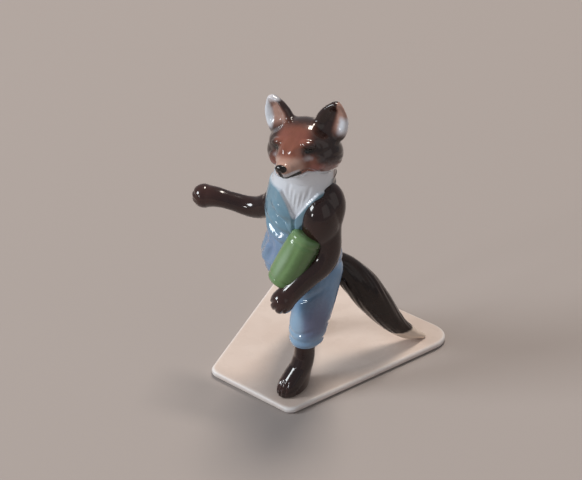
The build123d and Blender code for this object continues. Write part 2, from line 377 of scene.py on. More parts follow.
JACKET_GLAZE = Glaze(
    "jacket_under_glaze", srgb(124, 148, 184), srgb(134, 158, 186),
    (
        Coat(Layer.TINT, srgb(120, 156, 174), 0.9),
        # Dark blue in hollows and under the chest creases: glaze pooling and painted shade.
        Coat(Layer.HOLLOW_POOL_AND_SHADE, srgb(70, 88, 130), 0.75, 0.1),
        Coat(Layer.WHITE, WHITE_FUR, 1.0, 0.12),
        Coat(Layer.DARK, DARK_FUR),
    ),
)
FACE_GLAZE = Glaze(
    "face_under_glaze", srgb(114, 69, 57), srgb(130, 80, 65),
    (
        Coat(Layer.WARM_AND_HIGHLIGHT, srgb(184, 148, 134), 0.95),
        Coat(Layer.DARK, DARK_FUR, 0.97),
        Coat(Layer.BLUSH, srgb(146, 86, 80), 0.75),
        # Darker brown in hollows: glaze pooling and painted shade.
        Coat(Layer.HOLLOW_POOL_AND_SHADE, srgb(46, 30, 28), 0.4, 0.1),
        Coat(Layer.PALE, srgb(206, 206, 212), 0.97),
        Coat(Layer.WHITE, WHITE_FUR, 1.0, 0.15),
        Coat(Layer.BLACK, NEAR_BLACK, 1.0, 0.0),
    ),
)
PACKET_GLAZE = Glaze(
    "packet_under_glaze", srgb(112, 146, 94), srgb(124, 156, 108),
    (
        # Darker and near-black green towards the arm: painted shade.
        Coat(Layer.TINT, srgb(84, 118, 70), 0.85),
        Coat(Layer.DARK, srgb(50, 68, 42), 0.8),
        # Pale green streak: painted highlight.
        Coat(Layer.PALE, srgb(160, 186, 158), 0.7),
        # Darker green in hollows: glaze pooling and painted shade.
        Coat(Layer.HOLLOW_POOL_AND_SHADE, srgb(48, 74, 42), 0.8, 0.1),
    ),
)
TAIL_GLAZE = Glaze(
    "tail_under_glaze", srgb(30, 20, 17), srgb(40, 27, 22),
    (
        # Darker in hollows and fur grooves: glaze pooling and painted shade.
        Coat(Layer.HOLLOW_POOL_AND_SHADE, srgb(20, 14, 12), 0.7, 0.1),
        Coat(Layer.WHITE, srgb(220, 202, 186), 1.0, 0.3),
    ),
    gloss=0.6,
)


class Clay:
    """A lump of clay shaped with modelling tools; its working unit is the millimetre.

    Attributes:
        name: Name of the piece.
        frame: Place on the figure of the frame that the work is done in.
        lumps: Lumps on the bench.
        RUB: Strength of one round of smoothing.
        FAINTEST: Share up to which a tool leaves a point alone.
        BLUNT_END: Share of a half wave that a tapering stroke leaves out at each end.
        SHARP_ANGLE: Bend in degrees from which an edge is shaded sharp.
    """

    RUB = 0.5
    FAINTEST = 0.004
    BLUNT_END = 0.12
    SHARP_ANGLE = 48.0

    def __init__(self, name: str, frame: Matrix | None = None) -> None:
        """Start with nothing on the bench.

        Args:
            name: Name of the piece.
            frame: Frame that the work is done in, where it isn't the figure's own.
        """
        self.name = name
        self.frame = Matrix.Identity(4) if frame is None else frame
        self.lumps: list[Object] = []

    @property
    def body(self) -> Object:
        """The lump being worked on."""
        return self.lumps[0]

    @staticmethod
    def pick(*things: Object) -> None:
        """Select only these things and make the first one active.

        Args:
            things: The things.
        """
        if bpy.context.mode != "OBJECT":
            bpy.ops.object.mode_set(mode="OBJECT")
        bpy.ops.object.select_all(action="DESELECT")
        for thing in things:
            thing.select_set(True)
        bpy.context.view_layer.objects.active = things[0]

    @staticmethod
    def settle(thing: Object) -> None:
        """Put a thing's place, turn and size into its mesh."""
        Clay.pick(thing)
        bpy.ops.object.transform_apply(location=True, rotation=True, scale=True)

    @staticmethod
    def choose(thing: Object, kind: str, wanted: Callable[[object], bool]) -> None:
        """Go into edit mode with only the wanted parts of a mesh selected.

        Args:
            thing: The thing to edit.
            kind: VERT, EDGE or FACE.
            wanted: Says of each vertex, edge or face whether it is wanted.
        """
        Clay.pick(thing)
        bpy.ops.object.mode_set(mode="EDIT")
        bpy.ops.mesh.select_mode(type=kind)
        bpy.ops.mesh.select_all(action="DESELECT")
        bpy.ops.object.mode_set(mode="OBJECT")
        mesh = thing.data
        for part in {"VERT": mesh.vertices, "EDGE": mesh.edges, "FACE": mesh.polygons}[kind]:
            part.select = wanted(part)
        bpy.ops.object.mode_set(mode="EDIT")

    def keep(self, scale: Point = (1.0, 1.0, 1.0)) -> Object:
        """Put the newest object among the lumps, at its place on the figure.

        Args:
            scale: Its size against the primitive.

        Returns:
            The new lump.
        """
        made = bpy.context.active_object
        made.scale = scale
        self.settle(made)
        made.matrix_world = self.frame
        self.settle(made)
        self.lumps.append(made)
        return made

    def ball(self, centre: Point, radii: Point, turn: Point = (0.0, 0.0, 0.0)) -> None:
        """Add a ball, drawn out and turned.

        Args:
            centre: Its middle.
            radii: Its half sizes.
            turn: Its turns about the three axes, in degrees.
        """
        bpy.ops.object.select_all(action="DESELECT")
        bpy.ops.mesh.primitive_uv_sphere_add(
            segments=40, ring_count=24, radius=1.0, location=centre,
            rotation=[math.radians(angle) for angle in turn],
        )
        self.keep(radii)

    def limb(self, points: Path, radii: Sequence[float]) -> None:
        """Roll a limb along a smooth line, thicker and thinner, with a rounded far end.

        Args:
            points: Points along its middle.
            radii: Its radius at each point.
        """
        bpy.ops.object.select_all(action="DESELECT")
        bpy.ops.curve.primitive_bezier_curve_add(location=(0, 0, 0))
        roll = bpy.context.active_object
        line = roll.data.splines[0]
        line.bezier_points.add(len(points) - len(line.bezier_points))
        for knot, point, radius in zip(line.bezier_points, points, radii):
            knot.co = point
            knot.radius = radius
            knot.handle_left_type = "AUTO"
            knot.handle_right_type = "AUTO"
        line.radius_interpolation = "CARDINAL"
        roll.data.bevel_depth = 1.0
        roll.data.bevel_resolution = 10
        roll.data.resolution_u = 14
        roll.data.use_fill_caps = True
        self.pick(roll)
        bpy.ops.object.convert(target="MESH")
        self.keep()
        self.ball(points[-1], (radii[-1],) * 3)

    def stack(self, rings: Sequence[Ring], around: int) -> None:
        """Pull a form up through level oval rings, each extruded from the last.

        Args:
            rings: Centre, half width, half depth and turn in degrees of each ring.
            around: Points around a ring.
        """
        centre, half_width, half_depth, turn = rings[0]
        bpy.ops.object.select_all(action="DESELECT")
        bpy.ops.mesh.primitive_circle_add(
            vertices=around, radius=1.0, fill_type="NGON", location=centre,
            rotation=(0, 0, math.radians(turn)),
        )
        lump = bpy.context.active_object
        lump.scale = (half_width, half_depth, 1.0)
        self.settle(lump)
        bpy.ops.object.mode_set(mode="EDIT")
        bpy.ops.mesh.select_all(action="SELECT")
        for (start, wide, deep, facing), (end, next_wide, next_deep, next_facing) in zip(rings, rings[1:]):
            step = Vector(end) - Vector(start)
            bpy.ops.mesh.extrude_region_move(TRANSFORM_OT_translate={"value": step})
            axis = Matrix.Rotation(math.radians(facing), 3, "Z")
            bpy.ops.transform.resize(
                value=(next_wide / wide, next_deep / deep, 1.0), orient_type="GLOBAL",
                orient_matrix=axis.transposed(), orient_matrix_type="GLOBAL", center_override=end,
            )
            if next_facing != facing:
                bpy.ops.transform.rotate(
                    value=-math.radians(next_facing - facing), orient_axis="Z", center_override=end
                )
        bpy.ops.mesh.select_all(action="SELECT")
        bpy.ops.mesh.normals_make_consistent(inside=False)
        bpy.ops.object.mode_set(mode="OBJECT")
        self.keep()

    def modify(self, kind: str, **settings: object) -> None:
        """Add a modifier to the lump and apply it.

        Args:
            kind: Blender's name of the modifier type.
            settings: Its settings.
        """
        self.pick(self.body)
        bpy.ops.object.modifier_add(type=kind)
        tool = self.body.modifiers[-1]
        for key, value in settings.items():
            setattr(tool, key, value)
        bpy.ops.object.modifier_apply(modifier=tool.name)

    def fuse(self, grain: float, smooth: int) -> None:
        """Press all lumps into one skin and smooth it.

        Args:
            grain: Size of the skin's facets.
            smooth: Rounds of smoothing.
        """
        self.pick(*self.lumps)
        if len(self.lumps) > 1:
            bpy.ops.object.join()
        self.lumps = [bpy.context.active_object]
        self.modify("REMESH", mode="VOXEL", voxel_size=grain, use_smooth_shade=True)
        self.modify("SMOOTH", factor=self.RUB, iterations=smooth)

    def points(self, kind: str = "co") -> np.ndarray:
        """Read the skin's points.

        Args:
            kind: Their places with "co", or the directions that they face with "normal".

        Returns:
            Places on the figure or directions, one row each.
        """
        skin = self.body.data.vertices
        flat = np.empty(len(skin) * 3, np.float32)
        skin.foreach_get(kind, flat)
        return flat.reshape(-1, 3).astype(float)

    def own_points(self) -> np.ndarray:
        """Surface points in the working frame, one row each."""
        back = np.array(self.frame.inverted())
        return self.points() @ back[:3, :3].T + back[:3, 3]

    def _partly(self, share: np.ndarray, kind: str, **settings: object) -> None:
        """Use a modifier on a part of the skin.

        Args:
            share: How much of its work each point takes, 0 to 1.
            kind: Blender's name of the modifier type.
            settings: Its settings.
        """
        group = self.body.vertex_groups.new(name="marked")
        for index in np.nonzero(share > self.FAINTEST)[0]:
            group.add([int(index)], float(min(share[index], 1.0)), "REPLACE")
        self.modify(kind, vertex_group=group.name, **settings)
        self.body.vertex_groups.clear()

    def press(self, share: np.ndarray, height: float) -> None:
        """Raise the skin along its outward direction, by a share of a height that may be below 0."""
        self._partly(share, "DISPLACE", strength=height, mid_level=0.0)

    def soften(self, share: np.ndarray, rounds: int) -> None:
        """Rub a part of the skin smooth with a wet brush, for a number of rounds."""
        self._partly(share, "SMOOTH", factor=self.RUB, iterations=rounds)

    def stroke(self, paths: Iterable[Path], width: float, taper: bool = True) -> np.ndarray:
        """Find the skin along lines.

        Args:
            paths: Lines on or near the skin.
            width: Distance over which a stroke fades.
            taper: Whether strokes grow faint towards their ends.

        Returns:
            1 on the lines, falling to 0 beside them.
        """
        skin = BVHTree.FromObject(self.body, bpy.context.evaluated_depsgraph_get())
        here = self.points()
        share = np.zeros(len(here))
        for path in paths:
            line = np.array([skin.find_nearest(self.frame @ place)[0] for place in smooth_path(path)])
            close = np.all((here > line.min(0) - width) & (here < line.max(0) + width), axis=1)
            spots = here[close]
            best = np.zeros(len(spots))
            for index, (start, end) in enumerate(zip(line, line[1:])):
                way = end - start
                along = np.clip((spots - start) @ way / (way @ way + 1e-9), 0.0, 1.0)
                near = np.linalg.norm(spots - start - along[:, None] * way, axis=1)
                part = (index + along) / (len(line) - 1)
                inside = self.BLUNT_END + (1.0 - 2.0 * self.BLUNT_END) * part
                force = np.sin(np.pi * inside) if taper else 1.0
                best = np.maximum(best, force * ease(near, width, 0.0))
            share[close] = np.maximum(share[close], best)
        return share

    def carve(self, paths: Iterable[Path], width: float, height: float, taper: bool = True) -> None:
        """Draw a modelling tool along lines, which raises the skin or, below 0, leaves a groove."""
        self.press(self.stroke(paths, width, taper), height)

    def paint(self, layer: Layer, share: np.ndarray) -> None:
        """Lay a painted layer on the skin.

        Args:
            layer: Layer to paint.
            share: Cover of each point, 0 to 1.
        """
        store = self.body.data.attributes.get(layer.value)
        if store is None:
            store = self.body.data.attributes.new(layer.value, "FLOAT", "POINT")
        store.data.foreach_set("value", np.clip(share, 0.0, 1.0).astype(np.float32))

    def pool(self, strength: float, rounds: int) -> None:
        """Paint hollows darker and ridges lighter, as glaze pooling and thinning and as painted shade and
        highlight.

        Args:
            strength: How strongly bends count.
            rounds: Rounds of spreading.
        """
        edges = self.body.data.edges
        ends = np.empty(len(edges) * 2, np.int32)
        edges.foreach_get("vertices", ends)
        first, second = ends.reshape(-1, 2).T
        here, out = self.points(), self.points("normal")
        step = here[second] - here[first]
        step /= np.linalg.norm(step, axis=1)[:, None] + 1e-9
        bend, count = np.zeros(len(here)), np.zeros(len(here))
        for end, way in ((first, step), (second, -step)):
            np.add.at(bend, end, (out[end] * way).sum(1))
            np.add.at(count, end, 1)
        bend /= np.maximum(count, 1)
        for _ in range(rounds):
            total = bend * 2.0
            np.add.at(total, first, bend[second])
            np.add.at(total, second, bend[first])
            bend = total / (count + 2.0)
        self.paint(Layer.HOLLOW_POOL_AND_SHADE, bend * strength)
        self.paint(Layer.RIDGE_THIN_AND_HIGHLIGHT, -bend * strength)

    def cut(self, name: str, place: Vector, facing: Vector, keep_front: bool,
            near: tuple[Vector, float] | None = None) -> "Clay":
        """Cut a copy of the clay with a wire and close the cut.

        Args:
            name: Name of the piece that stays.
            place: A point on the cut.
            facing: Direction square to the cut.
            keep_front: Whether the part in front of the cut stays.
            near: Middle and radius of the only part that is cut, where not all is.

        Returns:
            The part that stays.
        """
        self.pick(self.body)
        bpy.ops.object.duplicate()
        other = Clay(name)
        other.lumps = [bpy.context.active_object]
        if near is None:
            bpy.ops.object.mode_set(mode="EDIT")
            bpy.ops.mesh.select_mode(type="FACE")
            bpy.ops.mesh.select_all(action="SELECT")
        else:
            centre, radius = near
            self.choose(other.body, "FACE", lambda face: (face.center - centre).length < radius)
        bpy.ops.mesh.bisect(
            plane_co=place, plane_no=facing, use_fill=True, clear_inner=keep_front, clear_outer=not keep_front
        )
        bpy.ops.object.mode_set(mode="OBJECT")
        return other

    def only(self, near: Point) -> "Clay":
        """Keep only the loose lump that lies nearest to a point.

        Args:
            near: The point.

        Returns:
            The clay itself.
        """
        index = int(np.argmin(np.linalg.norm(self.points() - np.array(near), axis=1)))
        self.choose(self.body, "VERT", lambda vertex: vertex.index == index)
        bpy.ops.mesh.select_linked()
        bpy.ops.mesh.select_all(action="INVERT")
        bpy.ops.mesh.delete(type="VERT")
        bpy.ops.object.mode_set(mode="OBJECT")
        return self

    def discard(self) -> None:
        """Take the lump off the bench."""
        bpy.data.objects.remove(self.body)
        self.lumps = []

    def fire(self, glaze: Glaze, node: str, slot: str) -> None:
        """Give the piece its true size, glaze it and set it on the frame.

        Args:
            glaze: Its glaze.
            node: CAD node that it stands for.
            slot: Material slot of the record; not used.
        """
        piece = self.body
        self.pick(piece)
        bpy.ops.transform.resize(value=(MM, MM, MM), center_override=(0, 0, 0))
        self.settle(piece)
        bpy.ops.object.shade_smooth_by_angle(angle=math.radians(self.SHARP_ANGLE))
        piece.name = self.name
        piece.data.name = self.name
        piece.data.materials.clear()
        piece.data.materials.append(glaze.material())
        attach(piece, ROOT)
        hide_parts(node)
        LOG.info("%s: %d faces, glazed with %s", piece.name, len(piece.data.polygons), glaze.name)


@dataclass
class Plate:
    """White plate with a rounded rim, narrow in front.

    Attributes:
        length: Front to back.
        front_width: Width of the front edge.
        back_width: Width of the back edge.
        thickness: Height of the plate.
        front_corner: Rounding of the front corners.
        back_corner: Rounding of the back corners.
        rim: Rounding of the rim.
        wear: Depth of the slight hollows on top.
        waves: Turn for each millimetre and start of the hollows' waves, across and along, in radians.
    """

    length: float = 61.0
    front_width: float = 31.0
    back_width: float = 66.4
    thickness: float = PLATE_TOP
    front_corner: float = 3.2
    back_corner: float = 6.5
    rim: float = 0.9
    wear: float = 0.05
    waves: Profile = ((0.31, 0.7), (0.27, 1.1))

    def build(self) -> None:
        """Model and glaze the plate."""
        clay = Clay("plate")
        bpy.ops.object.select_all(action="DESELECT")
        bpy.ops.mesh.primitive_cube_add(size=1.0, location=(0, 0, self.thickness / 2))
        slab = clay.keep((1.0, self.length, self.thickness))
        for corner in slab.data.vertices:
            width = self.front_width if corner.co.y < 0 else self.back_width
            corner.co.x = math.copysign(width / 2, corner.co.x)
        self._round_corners(slab)
        self._round_rim(slab)
        clay.fuse(grain=0.3, smooth=16)
        x, y, z = clay.points().T
        (across, left), (along, front) = self.waves
        hollows = np.sin(x * across + left) * np.sin(y * along + front)
        top = ease(z, self.thickness - 0.5, self.thickness - 0.1)
        clay.press(top * (0.5 + 0.5 * hollows), -self.wear)
        # Hollows painted darker and the rounded rim near white: glaze pooling, the plate's own white, painted
        # shade and painted highlight.
        clay.pool(strength=8.0, rounds=6)
        clay.fire(PLATE_GLAZE_WARM_LIT, "base_plate", "plate_glaze")

    def _round_corners(self, slab: Object) -> None:
        """Round the upright edges, in front and then at the back.

        Args:
            slab: The plate.
        """
        slant = math.atan((self.back_width - self.front_width) / (2 * self.length))
        for way, radius in ((-1, self.front_corner), (1, self.back_corner)):
            end = way * self.length / 2

            def upright(edge: MeshEdge) -> bool:
                """Whether an edge stands upright at this end of the plate."""
                low, high = (slab.data.vertices[index].co for index in edge.vertices)
                return (low - high).xy.length < NEARLY and abs(low.y - end) < NEARLY

            opening = math.pi / 2 - way * slant
            self._bevel(slab, upright, radius / math.tan(opening / 2), 10)

    def _round_rim(self, slab: Object) -> None:
        """Round the upper and lower edges all round.

        Args:
            slab: The plate.
        """
        def outer(edge: MeshEdge) -> bool:
            """Whether an edge runs round the upper or the lower face."""
            faces = (face for face in slab.data.polygons if set(edge.vertices) <= set(face.vertices))
            return sum(abs(face.normal.z) > 0.9 for face in faces) == 1

        self._bevel(slab, outer, self.rim, 6)

    @staticmethod
    def _bevel(slab: Object, wanted: Callable[[object], bool], offset: float, segments: int) -> None:
        """Round some edges.

        Args:
            slab: The plate.
            wanted: Says of each edge whether it is rounded.
            offset: Distance from the edge at which the rounding starts.
            segments: Facets of the rounding.
        """
        Clay.choose(slab, "EDGE", wanted)
        bpy.ops.mesh.bevel(
            offset_type="OFFSET", offset=offset, segments=segments, affect="EDGES", clamp_overlap=True
        )
        bpy.ops.object.mode_set(mode="OBJECT")


@dataclass
class Stance:
    """Where the body stands over the plate.

    Attributes:
        x: Middle of the body from the plate's middle line.
        y: Middle of the seat along the plate.
        hip: Height of the hips.
        lean: Forward lean for each millimetre of height.
        turn: Turn of the chest to the left, in degrees.
        shoulder: Height of the shoulders above the hips.
        sway: Shift of the hem and the seat against the chest, across and along.
        waist: Height above the hips where the shift ends.
        chest: Height above the hips where the body starts to draw in to the neck.
        neck: Height above the hips where the neck ends.
        neck_shift: Shift of the neck against the chest, across and along.
        depth: Depth of the body against its width, at the chest and at the neck.
    """

    x: float = 4.4
    y: float = -9.4
    hip: float = 38.0
    lean: float = 0.11
    turn: float = 11.0
    shoulder: float = 25.2
    sway: Pair = (-1.0, -0.8)
    waist: float = 11.0
    chest: float = 19.5
    neck: float = 32.0
    neck_shift: Pair = (1.2, 2.3)
    depth: Pair = (0.84, 0.93)

    def neck_share(self, rise: float | np.ndarray) -> float | np.ndarray:
        """How far a height has come from the chest to the neck, 0 to 1."""
        return np.clip((rise - self.chest) / (self.neck - self.chest), 0.0, 1.0) ** 2

    def middle(self, rise: float | np.ndarray) -> tuple[float | np.ndarray, float | np.ndarray]:
        """Find the middle of the body at a height.

        Args:
            rise: Height above the hips.

        Returns:
            The middle, across and along the plate.
        """
        swing = np.clip(1.0 - rise / self.waist, 0.0, 1.0)
        draw = self.neck_share(rise)
        across = self.x + self.sway[0] * swing + self.neck_shift[0] * draw
        return across, self.y + self.sway[1] * swing + self.neck_shift[1] * draw - self.lean * rise

    def centre(self, rise: float) -> Point:
        """Middle of the body at a height above the hips, as a point."""
        x, y = self.middle(rise)
        return float(x), float(y), self.hip + rise

    def facing(self, rise: float | np.ndarray) -> float | np.ndarray:
        """Turn of the body to its left at a height above the hips, in degrees."""
        return self.turn * np.clip(rise / self.shoulder, 0.0, 1.0)

    def ring(self, rise: float, half_width: float) -> Ring:
        """One level oval of the body, at a height above the hips."""
        ratio = self.depth[0] + float(self.neck_share(rise)) * (self.depth[1] - self.depth[0])
        return self.centre(rise), half_width, half_width * ratio, float(self.facing(rise))

    def around(self, points: np.ndarray) -> tuple[np.ndarray, np.ndarray]:
        """Find where points lie around the body.

        Args:
            points: Surface points, one row each.

        Returns:
            Height above the hips, and angle from the front in degrees, positive to the left.
        """
        rise = points[:, 2] - self.hip
        turn = np.radians(self.facing(rise))
        x, y = self.middle(rise)
        across = points[:, 0] - x
        ahead = y - points[:, 1]
        left = across * np.cos(turn) - ahead * np.sin(turn)
        front = across * np.sin(turn) + ahead * np.cos(turn)
        return rise, np.degrees(np.arctan2(left, front))

    def on_skin(self, rise: float, angle: float, reach: float) -> Point:
        """Find a point on or near the body.

        Args:
            rise: Its height above the hips.
            angle: Its angle from the front in degrees, positive to the left.
            reach: Its distance from the body's middle.

        Returns:
            The point.
        """
        turn = math.radians(self.facing(rise) + angle)
        x, y, z = self.centre(rise)
        return x + reach * math.sin(turn), y - reach * math.cos(turn), z


@dataclass
class Neck:
    """Thick furry neck between jacket and head, parted at a level seam.

    Attributes:
        stance: The body that it rises from.
        skull: Middle of the skull.
        root: Height above the hips and half width of the rings below the seam.
        rings: Share of the way from the seam to the skull, and half width.
        front: Direction that the throat faces, in degrees to the left.
        white: Angles from that direction between which the brown mane gives way to the white throat.
    """

    stance: Stance
    skull: Point = (6.5, -12.8, 80.2)
    root: Profile = ((25.2, 9.7), (28.6, 9.35), (30.5, 9.12))
    rings: Profile = ((0.0, 9.0), (0.25, 9.0), (0.5, 9.0), (0.72, 8.6), (0.95, 7.9))
    front: float = 12.0
    white: Pair = (104.0, 70.0)

    @property
    def seam(self) -> Vector:
        """Middle of the seam between chest and head."""
        return Vector(self.stance.centre(self.stance.neck))

    def upper(self) -> list[Ring]:
        """Rings from the seam up into the skull."""
        turn, depth = float(self.stance.facing(self.stance.neck)), self.stance.depth[1]
        return [
            (tuple(self.seam.lerp(Vector(self.skull), share)), wide, wide * depth, turn)
            for share, wide in self.rings
        ]

    def lower(self) -> list[Ring]:
        """Rings from the shoulders up to the seam."""
        return [self.stance.ring(*ring) for ring in self.root]

    def throat(self, points: np.ndarray) -> np.ndarray:
        """Tell the white throat from the brown mane.

        Args:
            points: Points on the figure, one row each.

        Returns:
            Share of white at each point.
        """
        x, y, _ = self.seam
        turn = np.degrees(np.arctan2(points[:, 0] - x, y - points[:, 1])) - self.front
        return ease(np.abs((turn + 180.0) % 360.0 - 180.0), *self.white)

    def part(self, clay: Clay, name: str, upper: bool) -> Clay:
        """Cut a piece at the seam.

        Args:
            clay: The clay with the neck on it.
            name: Name of the part that stays.
            upper: Whether the part above the seam stays.

        Returns:
            The part that stays.
        """
        kept = clay.cut(name, self.seam, UP, upper)
        clay.discard()
        return kept


@dataclass
class Jacket:
    """Sleeveless jacket with a flared hem, open at the throat.

    The lines on it are given by height above the hips, angle from the front in degrees to the left, and
    distance from the body's middle.

    Attributes:
        stance: Where the body stands.
        neck: The neck that rises from it.
        rings: Height above the hips and half width, from inside the hem up to the neck.
        middle: Angle of the point of the open neck from the chest's front, in degrees to the left.
        neckline: Angle from that point, in degrees, and height of the neck's edge above the hips.
        closing: Heights along the closing.
        edge: Heights along the edge that lies over it.
        overlap: Angle from the closing to that edge.
        closing_reach: Distances of closing and edge from the body's middle.
        folds: Soft folds in front and in the middle of the back.
        back_folds: Soft folds at both sides of the back.
        ridge: Raised fold in front.
        back_ridge: Raised folds at both sides of the back.
        creases: Sharp creases across the chest.
        valley: How far below a crease its valley lies.
        hair: Height, share of the tuft's lean and distance along a tuft of white fur.
        tufts: Lean in degrees and drop of each tuft.
    """

    stance: Stance
    neck: Neck
    rings: Profile = (
        (5.0, 10.6), (3.4, 11.2), (2.65, 11.8), (2.6, 12.05), (3.2, 12.4), (4.4, 12.28), (7.22, 11.5),
        (11.0, 10.6), (15.25, 10.55), (19.5, 10.5), (22.35, 10.02),
    )
    middle: float = 18.0
    neckline: Profile = ((0.0, 21.4), (20.0, 26.2), (38.0, 29.2), (180.0, 29.8))
    closing: tuple[float, ...] = (19.2, 14.0, 10.0, 6.0, 3.0)
    edge: tuple[float, ...] = (18.6, 14.0, 9.0, 4.0)
    overlap: float = 5.0
    closing_reach: Pair = (9.4, 9.6)
    folds: tuple[Path, ...] = (
        ((15.5, -64, 9.6), (13.6, -46, 9.2), (12.6, -26, 9.0)),
        ((19.5, -58, 9.6), (17.0, -40, 9.2), (15.2, -20, 9.0)),
        ((10.5, -78, 10.4), (9.4, -52, 10.2), (9.2, -30, 9.8)),
        ((4.0, -60, 12.2), (7.5, -54, 11.0), (11.0, -50, 10.0)),
        ((4.0, -28, 11.8), (7.5, -26, 10.6), (10.5, -30, 9.4)),
        ((4.0, 180, 11.6), (9.0, 178, 10.0), (16.0, 176, 8.8)),
    )
    back_folds: tuple[Path, ...] = (
        ((4.0, 100, 12.6), (8.0, 104, 11.4), (13.0, 110, 10.0)),
        ((4.0, 140, 11.8), (8.0, 146, 10.6), (14.0, 150, 9.2)),
    )
    ridge_thin_and_highlight: Path = ((4.0, -44, 12.0), (7.5, -40, 10.8), (10.5, -42, 9.8))
    back_ridge: Path = ((4.0, 120, 12.2), (8.0, 125, 11.0), (13.0, 130, 9.6))
    creases: tuple[Path, ...] = (
        ((24.6, -30, 9.0), (23.0, -8, 8.8), (22.0, 8, 8.8)),
        ((20.4, -40, 9.4), (18.4, -12, 9.2), (17.4, 12, 9.2)),
        ((15.6, -48, 9.6), (13.8, -18, 9.4), (13.0, 8, 9.4)),
    )
    valley: float = 2.3
    hair: Path = ((30.4, 1.0, 9.0), (27.6, 0.9, 8.8), (25.4, 0.6, 8.8))
    tufts: Profile = ((-24, -1.6), (-13, 0.2), (-3, 1.6), (8, 0.8), (19, -0.8))

    def build(self) -> None:
        """Model and glaze the jacket."""
        clay = Clay("jacket")
        body = [self.stance.ring(*ring) for ring in self.rings]
        clay.stack(body + self.neck.lower() + self.neck.upper()[:3], around=96)
        clay.fuse(grain=0.27, smooth=8)
        rise, angle = self.stance.around(clay.points())
        clay.press(ease(self._above_neckline(rise, angle), -0.25, 0.35), height=-0.5)
        clay.press(self._lapels(rise, angle), height=0.45)
        self._folds(clay)
        self._paint(clay)
        self.neck.part(clay, "jacket", False).fire(JACKET_GLAZE, "torso", "jacket_glaze")

    def _above_neckline(self, rise: np.ndarray, angle: np.ndarray) -> np.ndarray:
        """Height above the edge of the open neck."""
        angles, heights = zip(*self.neckline)
        return rise - np.interp(np.abs(angle - self.middle), angles, heights)

    def _lapels(self, rise: np.ndarray, angle: np.ndarray) -> np.ndarray:
        """Find the turned-back edges beside the open neck.

        Args:
            rise: Heights of points above the hips.
            angle: Their angles from the front.

        Returns:
            1 on the lapels, falling to 0 beside them.
        """
        above = self._above_neckline(rise, angle)
        beside = np.abs(angle - self.middle)
        band = ease(above, -5.6, -4.6) * ease(above, 0.2, -0.4)
        return band * ease(beside, 52.0, 38.0) * ease(beside, 1.5, 4.0)

    def _folds(self, clay: Clay) -> None:
        """Model the closing, the folds of the cloth and the tufts of the throat.

        Args:
            clay: The clay to carve.
        """
        def carve(lines: Iterable[Path], width: float, height: float, taper: bool = True) -> None:
            """Carve lines given by height, angle and distance."""
            paths = [[self.stance.on_skin(*place) for place in line] for line in lines]
            clay.carve(paths, width, height, taper)

        def mirrored(*lines: Path) -> list[Path]:
            """Lines at both sides of the back."""
            return [
                [(rise, way * angle, reach) for rise, angle, reach in line]
                for line in lines for way in (1, -1)
            ]

        under, over = self.closing_reach
        closing = [(rise, self.middle, under) for rise in self.closing]
        edge = [(rise, self.middle + self.overlap, over) for rise in self.edge]
        carve([closing], width=0.55, height=-0.22, taper=False)
        carve([edge], width=1.6, height=0.22)
        carve([*self.folds, *mirrored(*self.back_folds)], width=1.7, height=-0.5)
        carve([self.ridge_thin_and_highlight, *mirrored(self.back_ridge)], width=1.8, height=0.45)
        carve(self.creases, width=2.0, height=1.0)
        carve([
            [(rise - self.valley, angle, reach) for rise, angle, reach in line] for line in self.creases
        ], width=0.9, height=-0.4)
        carve([
            [(rise - drop, self.middle + share * lean, reach) for rise, share, reach in self.hair]
            for lean, drop in self.tufts
        ], width=0.9, height=-0.28)

    def _paint(self, clay: Clay) -> None:
        """Paint throat, mane and the deeper blue of chest and lapels.

        Args:
            clay: The clay to paint.
        """
        rise, angle = self.stance.around(clay.points())
        bare = ease(self._above_neckline(rise, angle), -0.7, 0.5)
        throat = self.neck.throat(clay.points())
        clay.paint(Layer.WHITE, bare * throat)
        clay.paint(Layer.DARK, bare * (1.0 - throat))
        chest = 0.85 * ease(rise - 2.0 * np.sin(np.radians(angle)), 10.0, 20.0)
        hem = 0.5 * spot(np.stack([angle, rise, rise], 1), (-70.0, 4.0, 4.0), (40.0, 9.0, 9.0), 0.8)
        clay.paint(Layer.TINT, np.maximum(self._lapels(rise, angle), chest + hem))
        # Hollows painted darker: glaze pooling and painted shade.
        clay.pool(strength=2.6, rounds=4)


